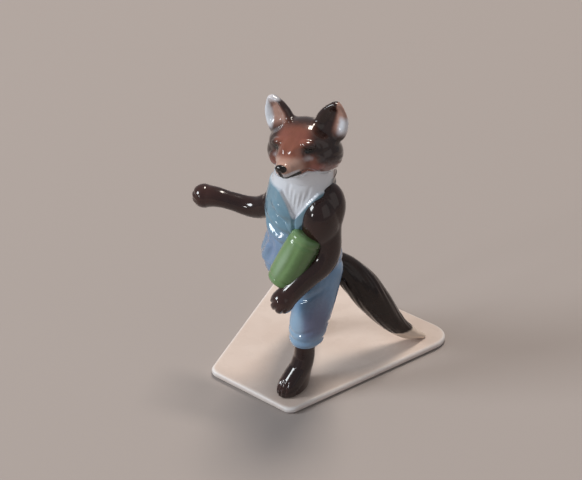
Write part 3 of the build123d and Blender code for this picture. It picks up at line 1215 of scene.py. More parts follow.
@dataclass
class Trousers:
    """Seat and both legs of the trousers.

    Attributes:
        stance: Where the body stands.
        seat: Height above the hips and half width, up the seat.
        left_leg: Points along the left leg, from the hip to the hem.
        right_leg: Points along the right leg.
        leg_radii: Radius at each point.
        split: Height of the cut between seat and legs.
        hem: Height of the hems.
        cuff: Distance of the cuff from the leg's middle, shift to the back and height above the hem.
        tuck: The same of the crease above the cuff.
        knee: Creases at a knee, from the leg's third point.
        groin: Creases at the groin.
        seam: Seam from the belly between the legs to the back.
        knee_highlights: Middles of the painted highlights on the knees.
    """

    stance: Stance
    seat: Profile = (
        (-5.0, 5.0), (-4.4, 8.0), (-2.8, 10.2), (-0.6, 11.2), (1.2, 11.4), (3.4, 11.0), (5.6, 10.2),
    )
    left_leg: tuple[Point, ...] = (
        (10.4, -9.2, 38.6), (10.8, -12.6, 31.0), (11.0, -15.4, 25.0), (11.15, -16.8, 21.8),
        (11.2, -17.5, 19.8), (11.2, -17.9, 18.0),
    )
    right_leg: tuple[Point, ...] = (
        (-0.4, -9.0, 38.6), (-2.0, -5.8, 31.0), (-3.4, -2.2, 25.0), (-4.3, 0.7, 21.8),
        (-4.8, 2.2, 19.8), (-5.0, 2.9, 18.0),
    )
    leg_radii: tuple[float, ...] = (6.2, 6.05, 5.8, 5.5, 5.0, 4.3)
    split: float = 31.4
    hem: float = 18.2
    cuff: Point = (4.7, 0.0, 0.9)
    tuck: Point = (4.9, 0.1, 2.3)
    knee: tuple[Path, ...] = (
        ((-4.6, -3.4, -1.6), (0.0, -5.6, -2.6), (4.4, -3.4, -0.6)),
        ((-4.8, 1.0, 2.2), (-3.4, 4.4, 1.0), (1.0, 5.6, 0.8)),
        ((5.2, 0.6, 0.4), (4.0, 4.0, -1.4), (0.4, 5.4, -2.4)),
    )
    groin: tuple[Path, ...] = (
        ((15.6, -13.0, 36.6), (12.6, -17.4, 33.6), (9.0, -18.4, 32.0), (5.2, -15.6, 31.4)),
        ((-6.0, -12.6, 35.0), (-2.4, -14.6, 33.0), (1.2, -14.6, 32.0), (4.6, -15.4, 31.4)),
        ((16.0, -6.0, 34.0), (13.0, -2.4, 32.6), (9.6, -1.6, 32.2)),
    )
    seam: Path = (
        (5.0, -18.0, 41.0), (5.0, -18.0, 36.0), (5.0, -15.0, 31.4), (5.0, -9.0, 29.8), (5.0, -2.0, 32.0),
        (5.0, 0.0, 36.0),
    )
    knee_highlights: tuple[Point, ...] = ((9.4, -21.8, 24.0), (-6.0, -7.0, 24.0))

    def build(self) -> None:
        """Model and glaze the trousers, cut into seat and legs."""
        clay = Clay("trousers")
        clay.stack([self.stance.ring(*ring) for ring in self.seat], around=72)
        for leg in (self.left_leg, self.right_leg):
            clay.limb(leg, self.leg_radii)
            clay.ball(leg[0], (self.leg_radii[0],) * 3)
        clay.fuse(grain=0.27, smooth=16)
        self._folds(clay)
        here = clay.points()
        # The left leg's outer side, away from the light, gets the mauve tint darkened as painted shade.
        flank = ease(here[:, 0] - 0.8 * here[:, 1], 24.0, 32.0) * ease(here[:, 2], 18.0, 26.0)
        clay.paint(Layer.TINT, flank)
        # Painted highlights on the front of the knees, turned towards the light.
        clay.paint(Layer.PALE, sum(spot(here, knee, (3.5, 3.0, 6.0), 0.9) for knee in self.knee_highlights))
        # Hollows painted darker: glaze pooling and painted shade.
        clay.pool(strength=2.4, rounds=4)
        self._part(clay)

    def _folds(self, clay: Clay) -> None:
        """Model cuffs, creases at the groin and soft folds at the knees.

        Args:
            clay: The clay to carve.
        """
        cuffs, creases = [], []
        for leg in (self.left_leg, self.right_leg):
            x, y, _ = leg[-1]
            for lines, (reach, shift, rise) in ((cuffs, self.cuff), (creases, self.tuck)):
                lines.append([
                    (x + reach * math.cos(turn), y + reach * math.sin(turn) + shift, self.hem + rise)
                    for turn in np.linspace(0, 2 * math.pi, 17)
                ])
            creases += [[tuple(np.add(leg[2], step)) for step in line] for line in self.knee]
        clay.carve(cuffs, width=1.0, height=0.3, taper=False)
        clay.carve(creases, width=1.0, height=-0.3)
        clay.carve(self.groin, width=1.3, height=-0.45)
        clay.carve([self.seam], width=0.7, height=-0.3)

    def _part(self, clay: Clay) -> None:
        """Cut the trousers into seat and legs and glaze each piece.

        Args:
            clay: The trousers.
        """
        level, hem = Vector((0, 0, self.split)), Vector((0, 0, self.hem))
        below = clay.cut("below", level, UP, False)
        hemmed = below.cut("hemmed", hem, UP, True)
        clay.cut("trouser_seat", level, UP, True).fire(TROUSER_GLAZE, "torso", "trouser_glaze")
        for side, leg in ((Side.LEFT, self.left_leg), (Side.RIGHT, self.right_leg)):
            piece = hemmed.cut(f"{side.word}_trouser_leg", hem - UP, UP, True).only(leg[2])
            piece.fire(TROUSER_GLAZE, f"{side.word}_leg", "trouser_glaze")
        for scrap in (clay, below, hemmed):
            scrap.discard()


@dataclass
class Foot:
    """Dark paw with a flat sole and toes, its ankle in the trouser hem.

    Attributes:
        side: Left or right.
        sole: Middle of the sole.
        ankle: Middle of the ankle, seen from above.
        half_length: Half the length of the sole.
        half_width: Half its width.
        height: Height of the ankle's top above the plate.
        shape: Shares of height, half length, half width and way to the ankle, from the sole up.
        toes: Places of the grooves between the toes, from the sole's middle line.
        groove: Along a groove: share of its place, way back from the tip, further way back for each
            millimetre of its place, and height above the plate.
    """

    side: Side
    sole: Pair
    ankle: Pair
    half_length: float
    half_width: float = 3.8
    height: float = 17.2
    shape: tuple[tuple[float, float, float, float], ...] = (
        (0.0, 0.88, 0.86, 0.0), (0.04, 0.97, 0.96, 0.0), (0.12, 1.0, 1.0, 0.04), (0.22, 0.93, 1.0, 0.16),
        (0.34, 0.76, 0.94, 0.42), (0.48, 0.58, 0.86, 0.76), (0.64, 0.49, 0.82, 0.95), (1.0, 0.48, 0.80, 1.0),
    )
    toes: tuple[float, ...] = (-1.5, 0.0, 1.5)
    groove: tuple[tuple[float, float, float, float], ...] = (
        (1.0, -0.2, 0.3, 0.3), (1.0, -0.1, 0.3, 1.8), (0.9, 1.2, 0.0, 3.6), (0.8, 2.6, 0.0, 4.6),
    )

    def build(self) -> None:
        """Model and glaze the foot."""
        clay = Clay(f"{self.side.word}_paw_foot")
        rings = []
        for height, along, across, shift in self.shape:
            x = self.sole[0] + shift * (self.ankle[0] - self.sole[0])
            y = self.sole[1] + shift * (self.ankle[1] - self.sole[1])
            long = max(along * self.half_length, 0.8 * self.half_width)
            rings.append(((x, y, PLATE_TOP + height * self.height), across * self.half_width, long, 0.0))
        clay.stack(rings, around=56)
        clay.fuse(grain=0.24, smooth=4)
        x, y = self.sole
        tip = y - self.half_length
        clay.carve([
            [(x + share * toe, tip + back + abs(toe) * curve, PLATE_TOP + rise)
             for share, back, curve, rise in self.groove]
            for toe in self.toes
        ], width=0.75, height=-0.5)
        here = clay.points()
        # Painted highlight: a reddish patch on the toes, towards the light.
        toe_highlight = spot(here, (x - 1.5, tip + 1.5, PLATE_TOP + 3.5), (3.0, 3.0, 2.0), 0.9)
        clay.paint(Layer.WARM_AND_HIGHLIGHT, toe_highlight * 0.8)
        # Painted shade: the foot darkens over its lowest millimetre, where it meets the plate.
        clay.paint(Layer.DARK, ease(here[:, 2], PLATE_TOP + 1.0, PLATE_TOP))
        # Hollows painted darker: glaze pooling and painted shade.
        clay.pool(strength=2.6, rounds=3)
        clay.fire(FUR_GLAZE, f"{self.side.word}_foot", "fur_glaze")


@dataclass
class Arm:
    """Bare brown arm with a rounded paw.

    Attributes:
        side: Left or right.
        points: Points along the arm, from inside the shoulder to the paw.
        radii: Radius at each point.
        muscle: Centre and half sizes of the shoulder.
        paw: Centre, half sizes and turn of the closed paw.
        fingers: Grooves between the fingers.
    """

    side: Side
    points: tuple[Point, ...]
    radii: tuple[float, ...]
    muscle: tuple[Point, Point]
    paw: tuple[Point, Point, Point]
    fingers: tuple[Path, ...]

    def build(self) -> None:
        """Model and glaze the arm."""
        clay = Clay(f"{self.side.word}_bare_arm")
        clay.limb(self.points, self.radii)
        clay.ball(*self.muscle)
        clay.ball(*self.paw)
        clay.fuse(grain=0.25, smooth=12)
        clay.carve(self.fingers, width=0.7, height=-0.45)
        centre, radii, _ = self.paw
        clay.paint(Layer.WARM_AND_HIGHLIGHT, spot(clay.points(), centre, tuple(1.5 * size for size in radii)) * 0.8)
        # Hollows painted darker: glaze pooling and painted shade.
        clay.pool(strength=2.6, rounds=3)
        clay.fire(FUR_GLAZE, f"{self.side.word}_arm", "fur_glaze")


@dataclass
class Packet:
    """Rounded green packet held aslant against the chest.

    Attributes:
        centre: Its middle.
        along: Direction of its length, downwards.
        outwards: Direction away from the chest.
        size: Thickness, width and length.
        roll: Share of the half length and of the half thickness, from the middle to an end.
        band: Share of the half length at which a groove runs round each end.
        dents: Places across of a long dent at its top, middle and end, and its share of the half length.
    """

    centre: Point = (9.61, -20.61, 47.3)
    along: Point = (-0.33, -0.29, -0.90)
    outwards: Point = (0.4704, -0.8825, 0.0)
    size: Point = (8.4, 10.0, 18.0)
    roll: Profile = (
        (0.0, 1.0), (0.68, 0.98), (0.88, 0.91), (0.97, 0.78), (1.0, 0.62),
    )
    band: float = 0.74
    dents: tuple[tuple[float, float, float, float], ...] = ((1.9, 1.5, 2.1, 0.7), (-2.9, -2.7, -3.1, 0.6))

    def build(self) -> None:
        """Model and glaze the packet."""
        clay = Clay("green_packet", self._place())
        thick, wide, long = (0.5 * size for size in self.size)
        roll = [(-along, across) for along, across in self.roll[:0:-1]] + list(self.roll)
        rings = [((0, 0, along * long), across * thick, across * wide, 0.0) for along, across in roll]
        clay.stack(rings, around=72)
        clay.fuse(grain=0.25, smooth=8)
        turns = np.linspace(-1.7, 1.7, 9)
        clay.carve([
            [(thick * math.cos(turn), wide * math.sin(turn), end * self.band * long) for turn in turns]
            for end in (-1, 1)
        ], width=1.0, height=-0.3)
        clay.carve([
            [(thick, top, -share * long), (thick, middle, 0.0), (thick, end, share * long)]
            for top, middle, end, share in self.dents
        ], width=1.3, height=-0.22)
        own = clay.own_points()
        # Painted shade: darker green, then near-black green, towards the arm. Painted highlight: a pale
        # streak along the other side.
        clay.paint(Layer.TINT, ease(own[:, 1], 2.4, -2.0))
        clay.paint(Layer.DARK, ease(own[:, 1], -1.6, -5.0))
        clay.paint(Layer.PALE, spot(own, (0.75 * thick, 3.1, 1.0), (4.0, 1.1, 0.8 * long), 0.9) * 0.7)
        # Hollows painted darker: glaze pooling and painted shade.
        clay.pool(strength=2.6, rounds=3)
        clay.fire(PACKET_GLAZE, "parcel", "packet_glaze")

    def _place(self) -> Matrix:
        """Find the packet's place on the figure.

        Returns:
            Its frame, with X away from the chest and Z down its length.
        """
        length = Vector(self.along).normalized()
        out = Vector(self.outwards)
        out = (out - out.dot(length) * length).normalized()
        place = Matrix((out, length.cross(out), length)).transposed().to_4x4()
        place.translation = self.centre
        return place


@dataclass
class Tail:
    """Bushy dark tail with a pale tip that lies on the plate.

    Attributes:
        points: Points along the tail, from inside the seat to the tip.
        radii: Radius at each point.
        pale_from: Height below which the tip is pale.
        tufts: Strokes of fur.
        tuft_starts: First sample of the line where a stroke starts, samples from one start to the next,
            and samples that the starts go round in.
        tuft_length: Samples along a stroke.
        tuft_turn: Turn around the tail from one stroke to the next, in radians.
        twist: Turn of a stroke for each sample along it, in radians.
    """

    points: tuple[Point, ...] = (
        (6.0, -4.0, 36.2), (7.95, 1.24, 33.5), (12.2, 5.2, 27.5), (16.3, 8.6, 20.1), (20.6, 13.9, 10.4),
        (23.4, 18.35, 5.4), (25.5, 22.3, 2.74),
    )
    radii: tuple[float, ...] = (3.2, 3.8, 4.9, 4.9, 3.4, 2.2, 0.9)
    pale_from: float = 8.4
    tufts: int = 46
    tuft_starts: tuple[int, int, int] = (5, 7, 22)
    tuft_length: int = 9
    tuft_turn: float = 2.399
    twist: float = 0.05

    def build(self) -> None:
        """Model and glaze the tail."""
        clay = Clay("bushy_tail")
        clay.limb(self.points, self.radii)
        clay.fuse(grain=0.25, smooth=10)
        clay.carve(self._fur(), width=0.85, height=-0.16)
        here = clay.points()
        height = here[:, 2] + 0.12 * (here[:, 0] - 20.0)
        clay.paint(Layer.WHITE, ease(height, self.pale_from + 0.9, self.pale_from - 0.9))
        # Hollows painted darker: glaze pooling and painted shade.
        clay.pool(strength=2.6, rounds=2)
        lying = clay.cut("bushy_tail", Vector((0, 0, PLATE_TOP)), UP, True)
        clay.discard()
        lying.fire(TAIL_GLAZE, "tail", "tail_glaze")

    def _fur(self) -> list[list[Point]]:
        """Lay long strokes of fur along the tail.

        Returns:
            The strokes.
        """
        line = smooth_path(self.points, 6)
        knots = np.arange(len(self.points))
        radii = np.interp(np.linspace(0, knots[-1], len(line)), knots, self.radii)
        strokes: list[list[Point]] = []
        first, skip, around = self.tuft_starts
        for tuft in range(self.tufts):
            start = first + (tuft * skip) % around
            stroke = []
            for index in range(start, min(start + self.tuft_length, len(line) - 1), 2):
                along = (line[index + 1] - line[index]).normalized()
                side = along.cross(Vector((0.3, 0.9, -0.3))).normalized()
                angle = tuft * self.tuft_turn + self.twist * (index - start)
                out = math.cos(angle) * side + math.sin(angle) * along.cross(side)
                stroke.append(tuple(line[index] + float(radii[index]) * out))
            if len(stroke) > 2:
                strokes.append(stroke)
        return strokes


@dataclass
class Head:
    """Fox's head with its ears and neck.

    The head is modelled level, facing forwards, and then set on the neck. Places are those on the level
    head, and of things in pairs they are the left one's.

    Attributes:
        neck: The neck that carries it.
        turn: Turn to the left, in degrees.
        tilt: Lean to the right, in degrees.
        nod: Nod, in degrees.
        collar: Heights on the figure between which the neck thins to meet the jacket's.
        skull: Centre and half sizes of the skull.
        muzzle: Points along the muzzle.
        muzzle_radii: Radius at each point.
        chin: Points along the lower jaw.
        chin_radii: Radius at each point.
        nose: Centre and half sizes of the nose.
        cheeks: Centres, half sizes and turns of jowl, brow and cheek.
        ear_root: Middle of the ear's root.
        ear_tip: Tip of the ear.
        ear_turn: Turn of the ears' cups outwards, in degrees.
        ear_leaf: Rise above the root, half width and half thickness along an ear.
        ear_cut: A place on the cut between ear and skull.
        ear_cut_facing: Direction square to that cut.
        ear_reach: Rise of the ear's middle above its root, and how far around it the skull is cut.
        ear_end: Rise above the root of a place near the tip.
        eye: Middle of the eye.
        socket: Line of the eye's hollow, from its middle.
        eyeball: Line of the eyeball, from the eye's middle.
        lid: Line of the upper lid, from the eye's middle.
        jaw: Points of half the mouth.
        cleft: Line from the nose to the mouth.
        nostril: Line of the nostril.
        stop: Groove down the middle of the forehead.
        bridge: Raised line beside that groove.
        border: Height of the border between brown face and white throat at the nose, and its slope.
    """

    neck: Neck
    turn: float = 12.0
    tilt: float = -7.0
    nod: float = -4.0
    collar: Pair = (78.0, 71.5)
    skull: tuple[Point, Point] = ((0, 0.7, 0.0), (10.2, 8.0, 6.9))
    muzzle: Path = ((0, -1.0, -1.2), (0, -5.0, -1.9), (0, -8.6, -2.7), (0, -11.2, -3.0), (0, -12.0, -3.1))
    muzzle_radii: tuple[float, ...] = (7.0, 6.0, 4.3, 2.9, 2.3)
    chin: Path = ((0, -2.0, -4.4), (0, -6.5, -5.0), (0, -9.8, -4.9), (0, -11.0, -4.8))
    chin_radii: tuple[float, ...] = (4.6, 3.2, 1.9, 1.4)
    nose: tuple[Point, Point] = ((0, -13.7, -1.8), (1.8, 1.0, 1.15))
    cheeks: tuple[tuple[Point, Point, float], ...] = (
        ((5.5, 0.7, -2.8), (5.5, 6.3, 5.8), 0.0),
        ((4.4, -5.4, 2.4), (2.4, 2.0, 1.2), 14.0),
        ((4.2, -4.0, -3.0), (4.4, 3.4, 3.2), 0.0),
    )
    ear_root: Point = (7.7, 2.3, 4.9)
    ear_tip: Point = (10.2, 2.3, 12.2)
    ear_turn: float = 10.0
    ear_leaf: tuple[Point, ...] = (
        (-3.0, 4.5, 2.8), (0.0, 4.9, 2.7), (2.2, 4.6, 2.4), (4.4, 3.6, 2.0), (6.0, 2.4, 1.6), (7.0, 1.5, 1.2),
        (7.6, 0.7, 0.7),
    )
    ear_cut: Point = (6.6, 2.3, 6.2)
    ear_cut_facing: Point = (0.5, 0.0, 0.866)
    ear_reach: Pair = (4.5, 7.4)
    ear_end: float = 7.0
    eye: Point = (5.75, -6.8, 0.95)
    socket: Path = ((-1.9, -1.0, -0.5), (0.0, -0.2, 0.0), (1.7, 1.4, 0.6))
    eyeball: Path = ((-0.5, -0.3, -0.1), (0.5, 0.4, 0.1))
    lid: Path = ((-1.9, -1.1, -0.4), (-0.6, -0.6, 1.0), (0.7, 0.4, 1.1), (1.9, 1.5, 0.6))
    jaw: Path = (
        (0.0, -13.9, -4.5), (1.6, -12.7, -5.4), (3.0, -10.9, -5.3), (4.6, -8.6, -5.0), (6.0, -6.2, -4.9),
    )
    cleft: Path = ((0, -14.6, -2.6), (0, -14.4, -3.6), (0, -13.9, -4.5))
    nostril: Path = ((0.9, -14.5, -1.9), (1.3, -14.2, -2.1))
    stop: Path = ((0, -7.5, 3.6), (0, -9.6, 1.4), (0, -11.6, -0.2))
    bridge: Path = ((2.2, -7.6, 2.6), (1.6, -8.6, 1.8), (0.8, -9.4, 1.1))
    border: Pair = (-5.3, -0.06)

    @property
    def place(self) -> Matrix:
        """Place the level head on the figure.

        Returns:
            The frame of the level head.
        """
        turn, tilt, nod = (math.radians(angle) for angle in (self.turn, self.tilt, self.nod))
        spin = Matrix.Rotation(turn, 4, "Z") @ Matrix.Rotation(tilt, 4, "Y") @ Matrix.Rotation(nod, 4, "X")
        return Matrix.Translation(self.neck.skull) @ spin

    def build(self) -> None:
        """Model and glaze the head and cut the ears from it."""
        clay = Clay("head_and_ears", self.place)
        self._skull(clay)
        clay.fuse(grain=0.24, smooth=10)
        clay.press(ease(clay.points()[:, 2], *self.collar), height=-0.5)
        self._nape(clay)
        self._cups(clay)
        self._features(clay)
        self._paint(clay)
        self._part(self.neck.part(clay, "head_and_ears", True))

    def _skull(self, clay: Clay) -> None:
        """Put together skull, muzzle, cheeks, neck and ears.

        Args:
            clay: The clay to shape.
        """
        clay.ball(*self.skull)
        clay.limb(self.muzzle, self.muzzle_radii)
        clay.limb(self.chin, self.chin_radii)
        clay.ball(*self.nose)
        for side in Side:
            way = side.value
            for (x, y, z), radii, turn in self.cheeks:
                clay.ball((way * x, y, z), radii, (0, way * turn, 0))
            clay.frame = self.place @ self._ear_frame(way)
            clay.stack([((0, 0, rise), wide, thick, 0.0) for rise, wide, thick in self.ear_leaf], around=40)
            clay.frame = self.place
        clay.frame = Matrix.Identity(4)
        clay.stack(self.neck.lower()[1:] + self.neck.upper(), around=96)
        clay.frame = self.place

    def _ear_frame(self, way: int) -> Matrix:
        """Place an ear on the level head.

        Args:
            way: 1 for the left ear, -1 for the right one.

        Returns:
            The ear's frame, with its height along Z and its cup facing forwards.
        """
        root, tip = Vector(self.ear_root), Vector(self.ear_tip)
        root.x *= way
        tip.x *= way
        lean = UP.rotation_difference(tip - root).to_matrix().to_4x4()
        return Matrix.Translation(root) @ lean @ Matrix.Rotation(math.radians(way * self.ear_turn), 4, "Z")

    def _on_ear(self, here: np.ndarray, way: int) -> tuple[np.ndarray, np.ndarray, np.ndarray, np.ndarray]:
        """Find where points lie on an ear.

        Args:
            here: Points of the level head.
            way: 1 for the left ear, -1 for the right one.

        Returns:
            Place outwards across the ear, in front of it and up it, and the ear's half width there.
        """
        back = np.array(self._ear_frame(way).inverted())
        own = here @ back[:3, :3].T + back[:3, 3]
        rises, widths, _ = zip(*self.ear_leaf)
        return way * own[:, 0], -own[:, 1], own[:, 2], np.interp(own[:, 2], rises, widths)

    def _nape(self, clay: Clay) -> None:
        """Rub the back of the head softly into the neck."""
        _, y, z = clay.own_points().T
        clay.soften(ease(y, -1.0, 2.5) * ease(z, -10.0, -7.5) * ease(z, 3.0, 0.0), rounds=60)

    def _cups(self, clay: Clay) -> None:
        """Let the ears grow softly from the skull and hollow them in front.

        Args:
            clay: The clay to shape.
        """
        for side in Side:
            across, ahead, rise, wide = self._on_ear(clay.own_points(), side.value)
            near = ease(np.abs(across), wide + 2.6, wide + 1.0) * ease(np.abs(ahead), 6.0, 4.4)
            clay.soften(near * ease(rise, -5.0, -2.6) * ease(rise, 3.4, 1.2), rounds=60)
            across, ahead, rise, wide = self._on_ear(clay.own_points(), side.value)
            cup = ease(np.abs(across - 0.2), 0.95 * wide, 0.3 * wide) * ease(ahead, -0.4, 0.5)
            cup = cup * ease(rise, -2.6, 2.4) * ease(rise, 7.2, 4.8) * ease(ahead, 6.0, 4.6)
            clay.press(cup, height=-2.1)

    def _features(self, clay: Clay) -> None:
        """Model eyes, nose, mouth and fur.

        Args:
            clay: The clay to carve.
        """
        socket, eyeball, lid = (
            both_sides([tuple(np.add(self.eye, step)) for step in line])
            for line in (self.socket, self.eyeball, self.lid)
        )
        clay.carve(socket, width=2.0, height=-0.55)
        clay.carve(eyeball, width=1.15, height=0.42, taper=False)
        clay.carve(lid, width=0.9, height=0.14)
        _, y, z = clay.own_points().T
        clay.soften(ease(y, -5.0, -7.0) * ease(z, -2.6, -3.8), rounds=30)
        clay.carve(self._mouth(), width=0.8, height=-0.4)
        clay.carve(both_sides(self.nostril), width=0.4, height=-0.25, taper=False)
        clay.carve([self.stop], width=1.6, height=-0.2)
        clay.carve(both_sides(self.bridge), width=1.2, height=0.22)
        clay.carve(self._fur(), width=0.8, height=-0.16)

    def _mouth(self) -> list[Path]:
        """Lines of the mouth: both halves and the cleft below the nose."""
        return [*both_sides(self.jaw), self.cleft]

    def _fur(self) -> list[list[Point]]:
        """Lay short strokes of fur on cheeks and nape.

        Returns:
            The strokes.
        """
        strokes = []
        for row in range(5):
            drop = -1.6 - 1.4 * row
            strokes.append([
                (9.4 - 0.12 * row, -2.2 + 0.2 * row, drop), (10.4 - 0.3 * row, 0.4, drop - 0.9),
                (10.4 - 0.45 * row, 3.0, drop - 1.4),
            ])
        for row in range(4):
            strokes.append([
                (1.2 + 2.4 * row, 8.2 - 0.7 * row, 3.4 - 0.4 * row), (1.3 + 2.5 * row, 8.6 - 0.8 * row, 0.0),
                (1.2 + 2.4 * row, 8.0 - 0.8 * row, -3.6),
            ])
        return both_sides(*strokes)

    def _ear_paint(self, here: np.ndarray) -> tuple[np.ndarray, np.ndarray, np.ndarray]:
        """Find the painted parts of both ears.

        Args:
            here: Points of the level head.

        Returns:
            Cover of the brown backs and inner edges, of the white outer bands and of the pink cups.
        """
        brown, white, pink = (np.zeros(len(here)) for _ in range(3))
        # The left ear is painted darker than the right. Its weaker white is painted shade on the ear away
        # from the light. Its white band is also shorter, its brown wider and its tip not white.
        ear_looks_shaded_left = ((Side.LEFT, 0.0, 2.6, 0.75, 0.0), (Side.RIGHT, -0.9, 7.6, 1.0, 0.6))
        for side, inner, pale_to, cover, tip in ear_looks_shaded_left:
            across, ahead, rise, wide = self._on_ear(here, side.value)
            near = ease(np.abs(across), wide + 1.6, wide + 0.8) * ease(np.abs(ahead), 4.4, 3.2)
            front = near * ease(ahead, -1.2, -0.2) * ease(rise, -3.0, 1.4)
            share = across / wide
            dark = np.maximum(ease(ahead, -0.2, -1.2), ease(share, inner + 0.25, inner - 0.15))
            brown = np.maximum(brown, near * ease(rise, -1.0, 2.0) * dark)
            outer = max(inner + 0.15, 0.1)
            band = cover * ease(share, outer, outer + 0.5) * ease(rise, pale_to + 3.0, pale_to)
            white = np.maximum(white, front * np.maximum(band, tip * ease(rise, 4.6, 6.4)))
            pink = np.maximum(pink, front * ease(share, inner - 0.1, inner + 0.35))
        return brown, white, pink

    def _paint(self, clay: Clay) -> None:
        """Airbrush face, ears and throat.

        Args:
            clay: The clay to paint.
        """
        here = clay.own_points()
        x, y, z = here.T
        side = np.abs(x)
        mirrored = np.stack([side, y, z], 1)
        ear_brown, ear_white, ear_pink = self._ear_paint(here)
        above = z - (self.border[0] + self.border[1] * (y + 11.0))
        throat = self.neck.throat(clay.points())
        ex, ey, ez = self.eye
        crown = ease(z + 0.55 * y, 1.4, 7.4)
        flank = ease(side + 0.3 * (y + 6.8), 1.4, 9.6) * ease(y, -9.6, -4.6)
        flank = flank * ease(above, 0.4, 2.0) * ease(z + 0.3 * y, -8.4, -3.0)
        nape = np.maximum(ease(y, 2.4, 5.0), ease(above, 0.4, -0.6) * (1.0 - throat))
        mask = spot(mirrored, (ex + 0.7, ey + 0.4, ez + 0.4), (3.2, 3.0, 2.0), 0.8)
        jowl = spot(mirrored, (8.4, -2.4, -5.4), (4.0, 5.2, 3.4), 0.9)
        dark = np.maximum.reduce([crown * 0.8, flank * (1.0 - 0.3 * jowl), nape, mask, ear_brown])
        dark = dark * (1.0 - np.maximum(ear_white, 0.9 * ear_pink)) * (1.0 - ease(above, 0.2, -0.6) * throat)
        clay.paint(Layer.DARK, dark)
        clay.paint(Layer.WARM_AND_HIGHLIGHT, np.maximum(ease(y, -6.4, -11.0) * ease(z, 1.6, -1.6), 0.65 * ear_pink))
        cheek = spot(mirrored, (6.4, -5.6, -3.9), (2.4, 2.4, 1.3), 0.7)
        brow = spot(mirrored, (3.0, -6.0, 4.6), (3.0, 3.0, 2.0), 0.8)
        clay.paint(Layer.BLUSH, cheek * 0.85 + brow * 0.4)
        under_eye = spot(mirrored, (ex - 0.2, ey - 0.9, ez - 1.8), (1.9, 1.6, 1.0), 0.7)
        lips = ease(y, -8.6, -10.6) * ease(z, -2.7, -3.5)
        below = ease(above, 0.25, -0.55) * throat
        clay.paint(Layer.PALE, np.maximum.reduce([under_eye * 0.5, jowl * 0.34, lips * 0.8, below]))
        clay.paint(Layer.WHITE, np.maximum(ear_white, ease(z, -5.2, -7.0) * throat))
        eye = spot(mirrored, (ex, ey - 0.1, ez), (1.8, 1.5, 0.95), 0.25)
        nose = spot(here, (0, -14.1, -1.75), (2.0, 1.3, 1.15), 0.15)
        mouth = clay.stroke(self._mouth(), width=0.75, taper=False) * ease(y, -7.6, -9.2)
        clay.paint(Layer.BLACK, np.maximum.reduce([eye, nose, ease(mouth, 0.0, 0.75)]))
        # Hollows painted darker: glaze pooling and painted shade.
        clay.pool(strength=2.2, rounds=3)

    def _part(self, clay: Clay) -> None:
        """Cut the ears from the head and glaze the three pieces.

        Args:
            clay: The head with its ears.
        """
        spin = self.place.to_3x3()
        rise, reach = self.ear_reach
        skull = clay
        for side in Side:
            mirror = Vector((side.value, 1, 1))
            place = self.place @ (Vector(self.ear_cut) * mirror)
            facing = spin @ (Vector(self.ear_cut_facing) * mirror)
            frame = self._ear_frame(side.value)
            middle, tip = (self.place @ (frame @ (height * UP)) for height in (rise, self.ear_end))
            ear = clay.cut(f"{side.word}_cupped_ear", place, facing, True).only(tip)
            bare = skull.cut("fox_head", place, facing, False, (middle, reach))
            if skull is not clay:
                skull.discard()
            skull = bare
            ear.fire(FACE_GLAZE, f"{side.word}_ear", "ear_glaze")
        clay.discard()
        skull.fire(FACE_GLAZE, "head", "face_glaze")


@dataclass(frozen=True)
class Lamp:
    """Soft square lamp.

    Attributes:
        name: Name of the lamp.
        place: Where it hangs, in metres.
        aim: Point that it faces, in metres.
        size: Length of its sides, in metres.
        power: Its power, in watts.
        tint: Colour of its light.
    """

    name: str
    place: Point
    aim: Point
    size: float
    power: float
    tint: tuple[float, float, float]

    def hang(self) -> None:
        """Hang the lamp in the studio."""
        bpy.ops.object.select_all(action="DESELECT")
        bpy.ops.object.light_add(type="AREA", location=self.place)
        lamp = bpy.context.active_object
        lamp.name = self.name
        lamp.rotation_euler = (Vector(self.aim) - Vector(self.place)).to_track_quat("-Z", "Y").to_euler()
        lamp.data.size = self.size
        lamp.data.energy = self.power
        lamp.data.color = self.tint


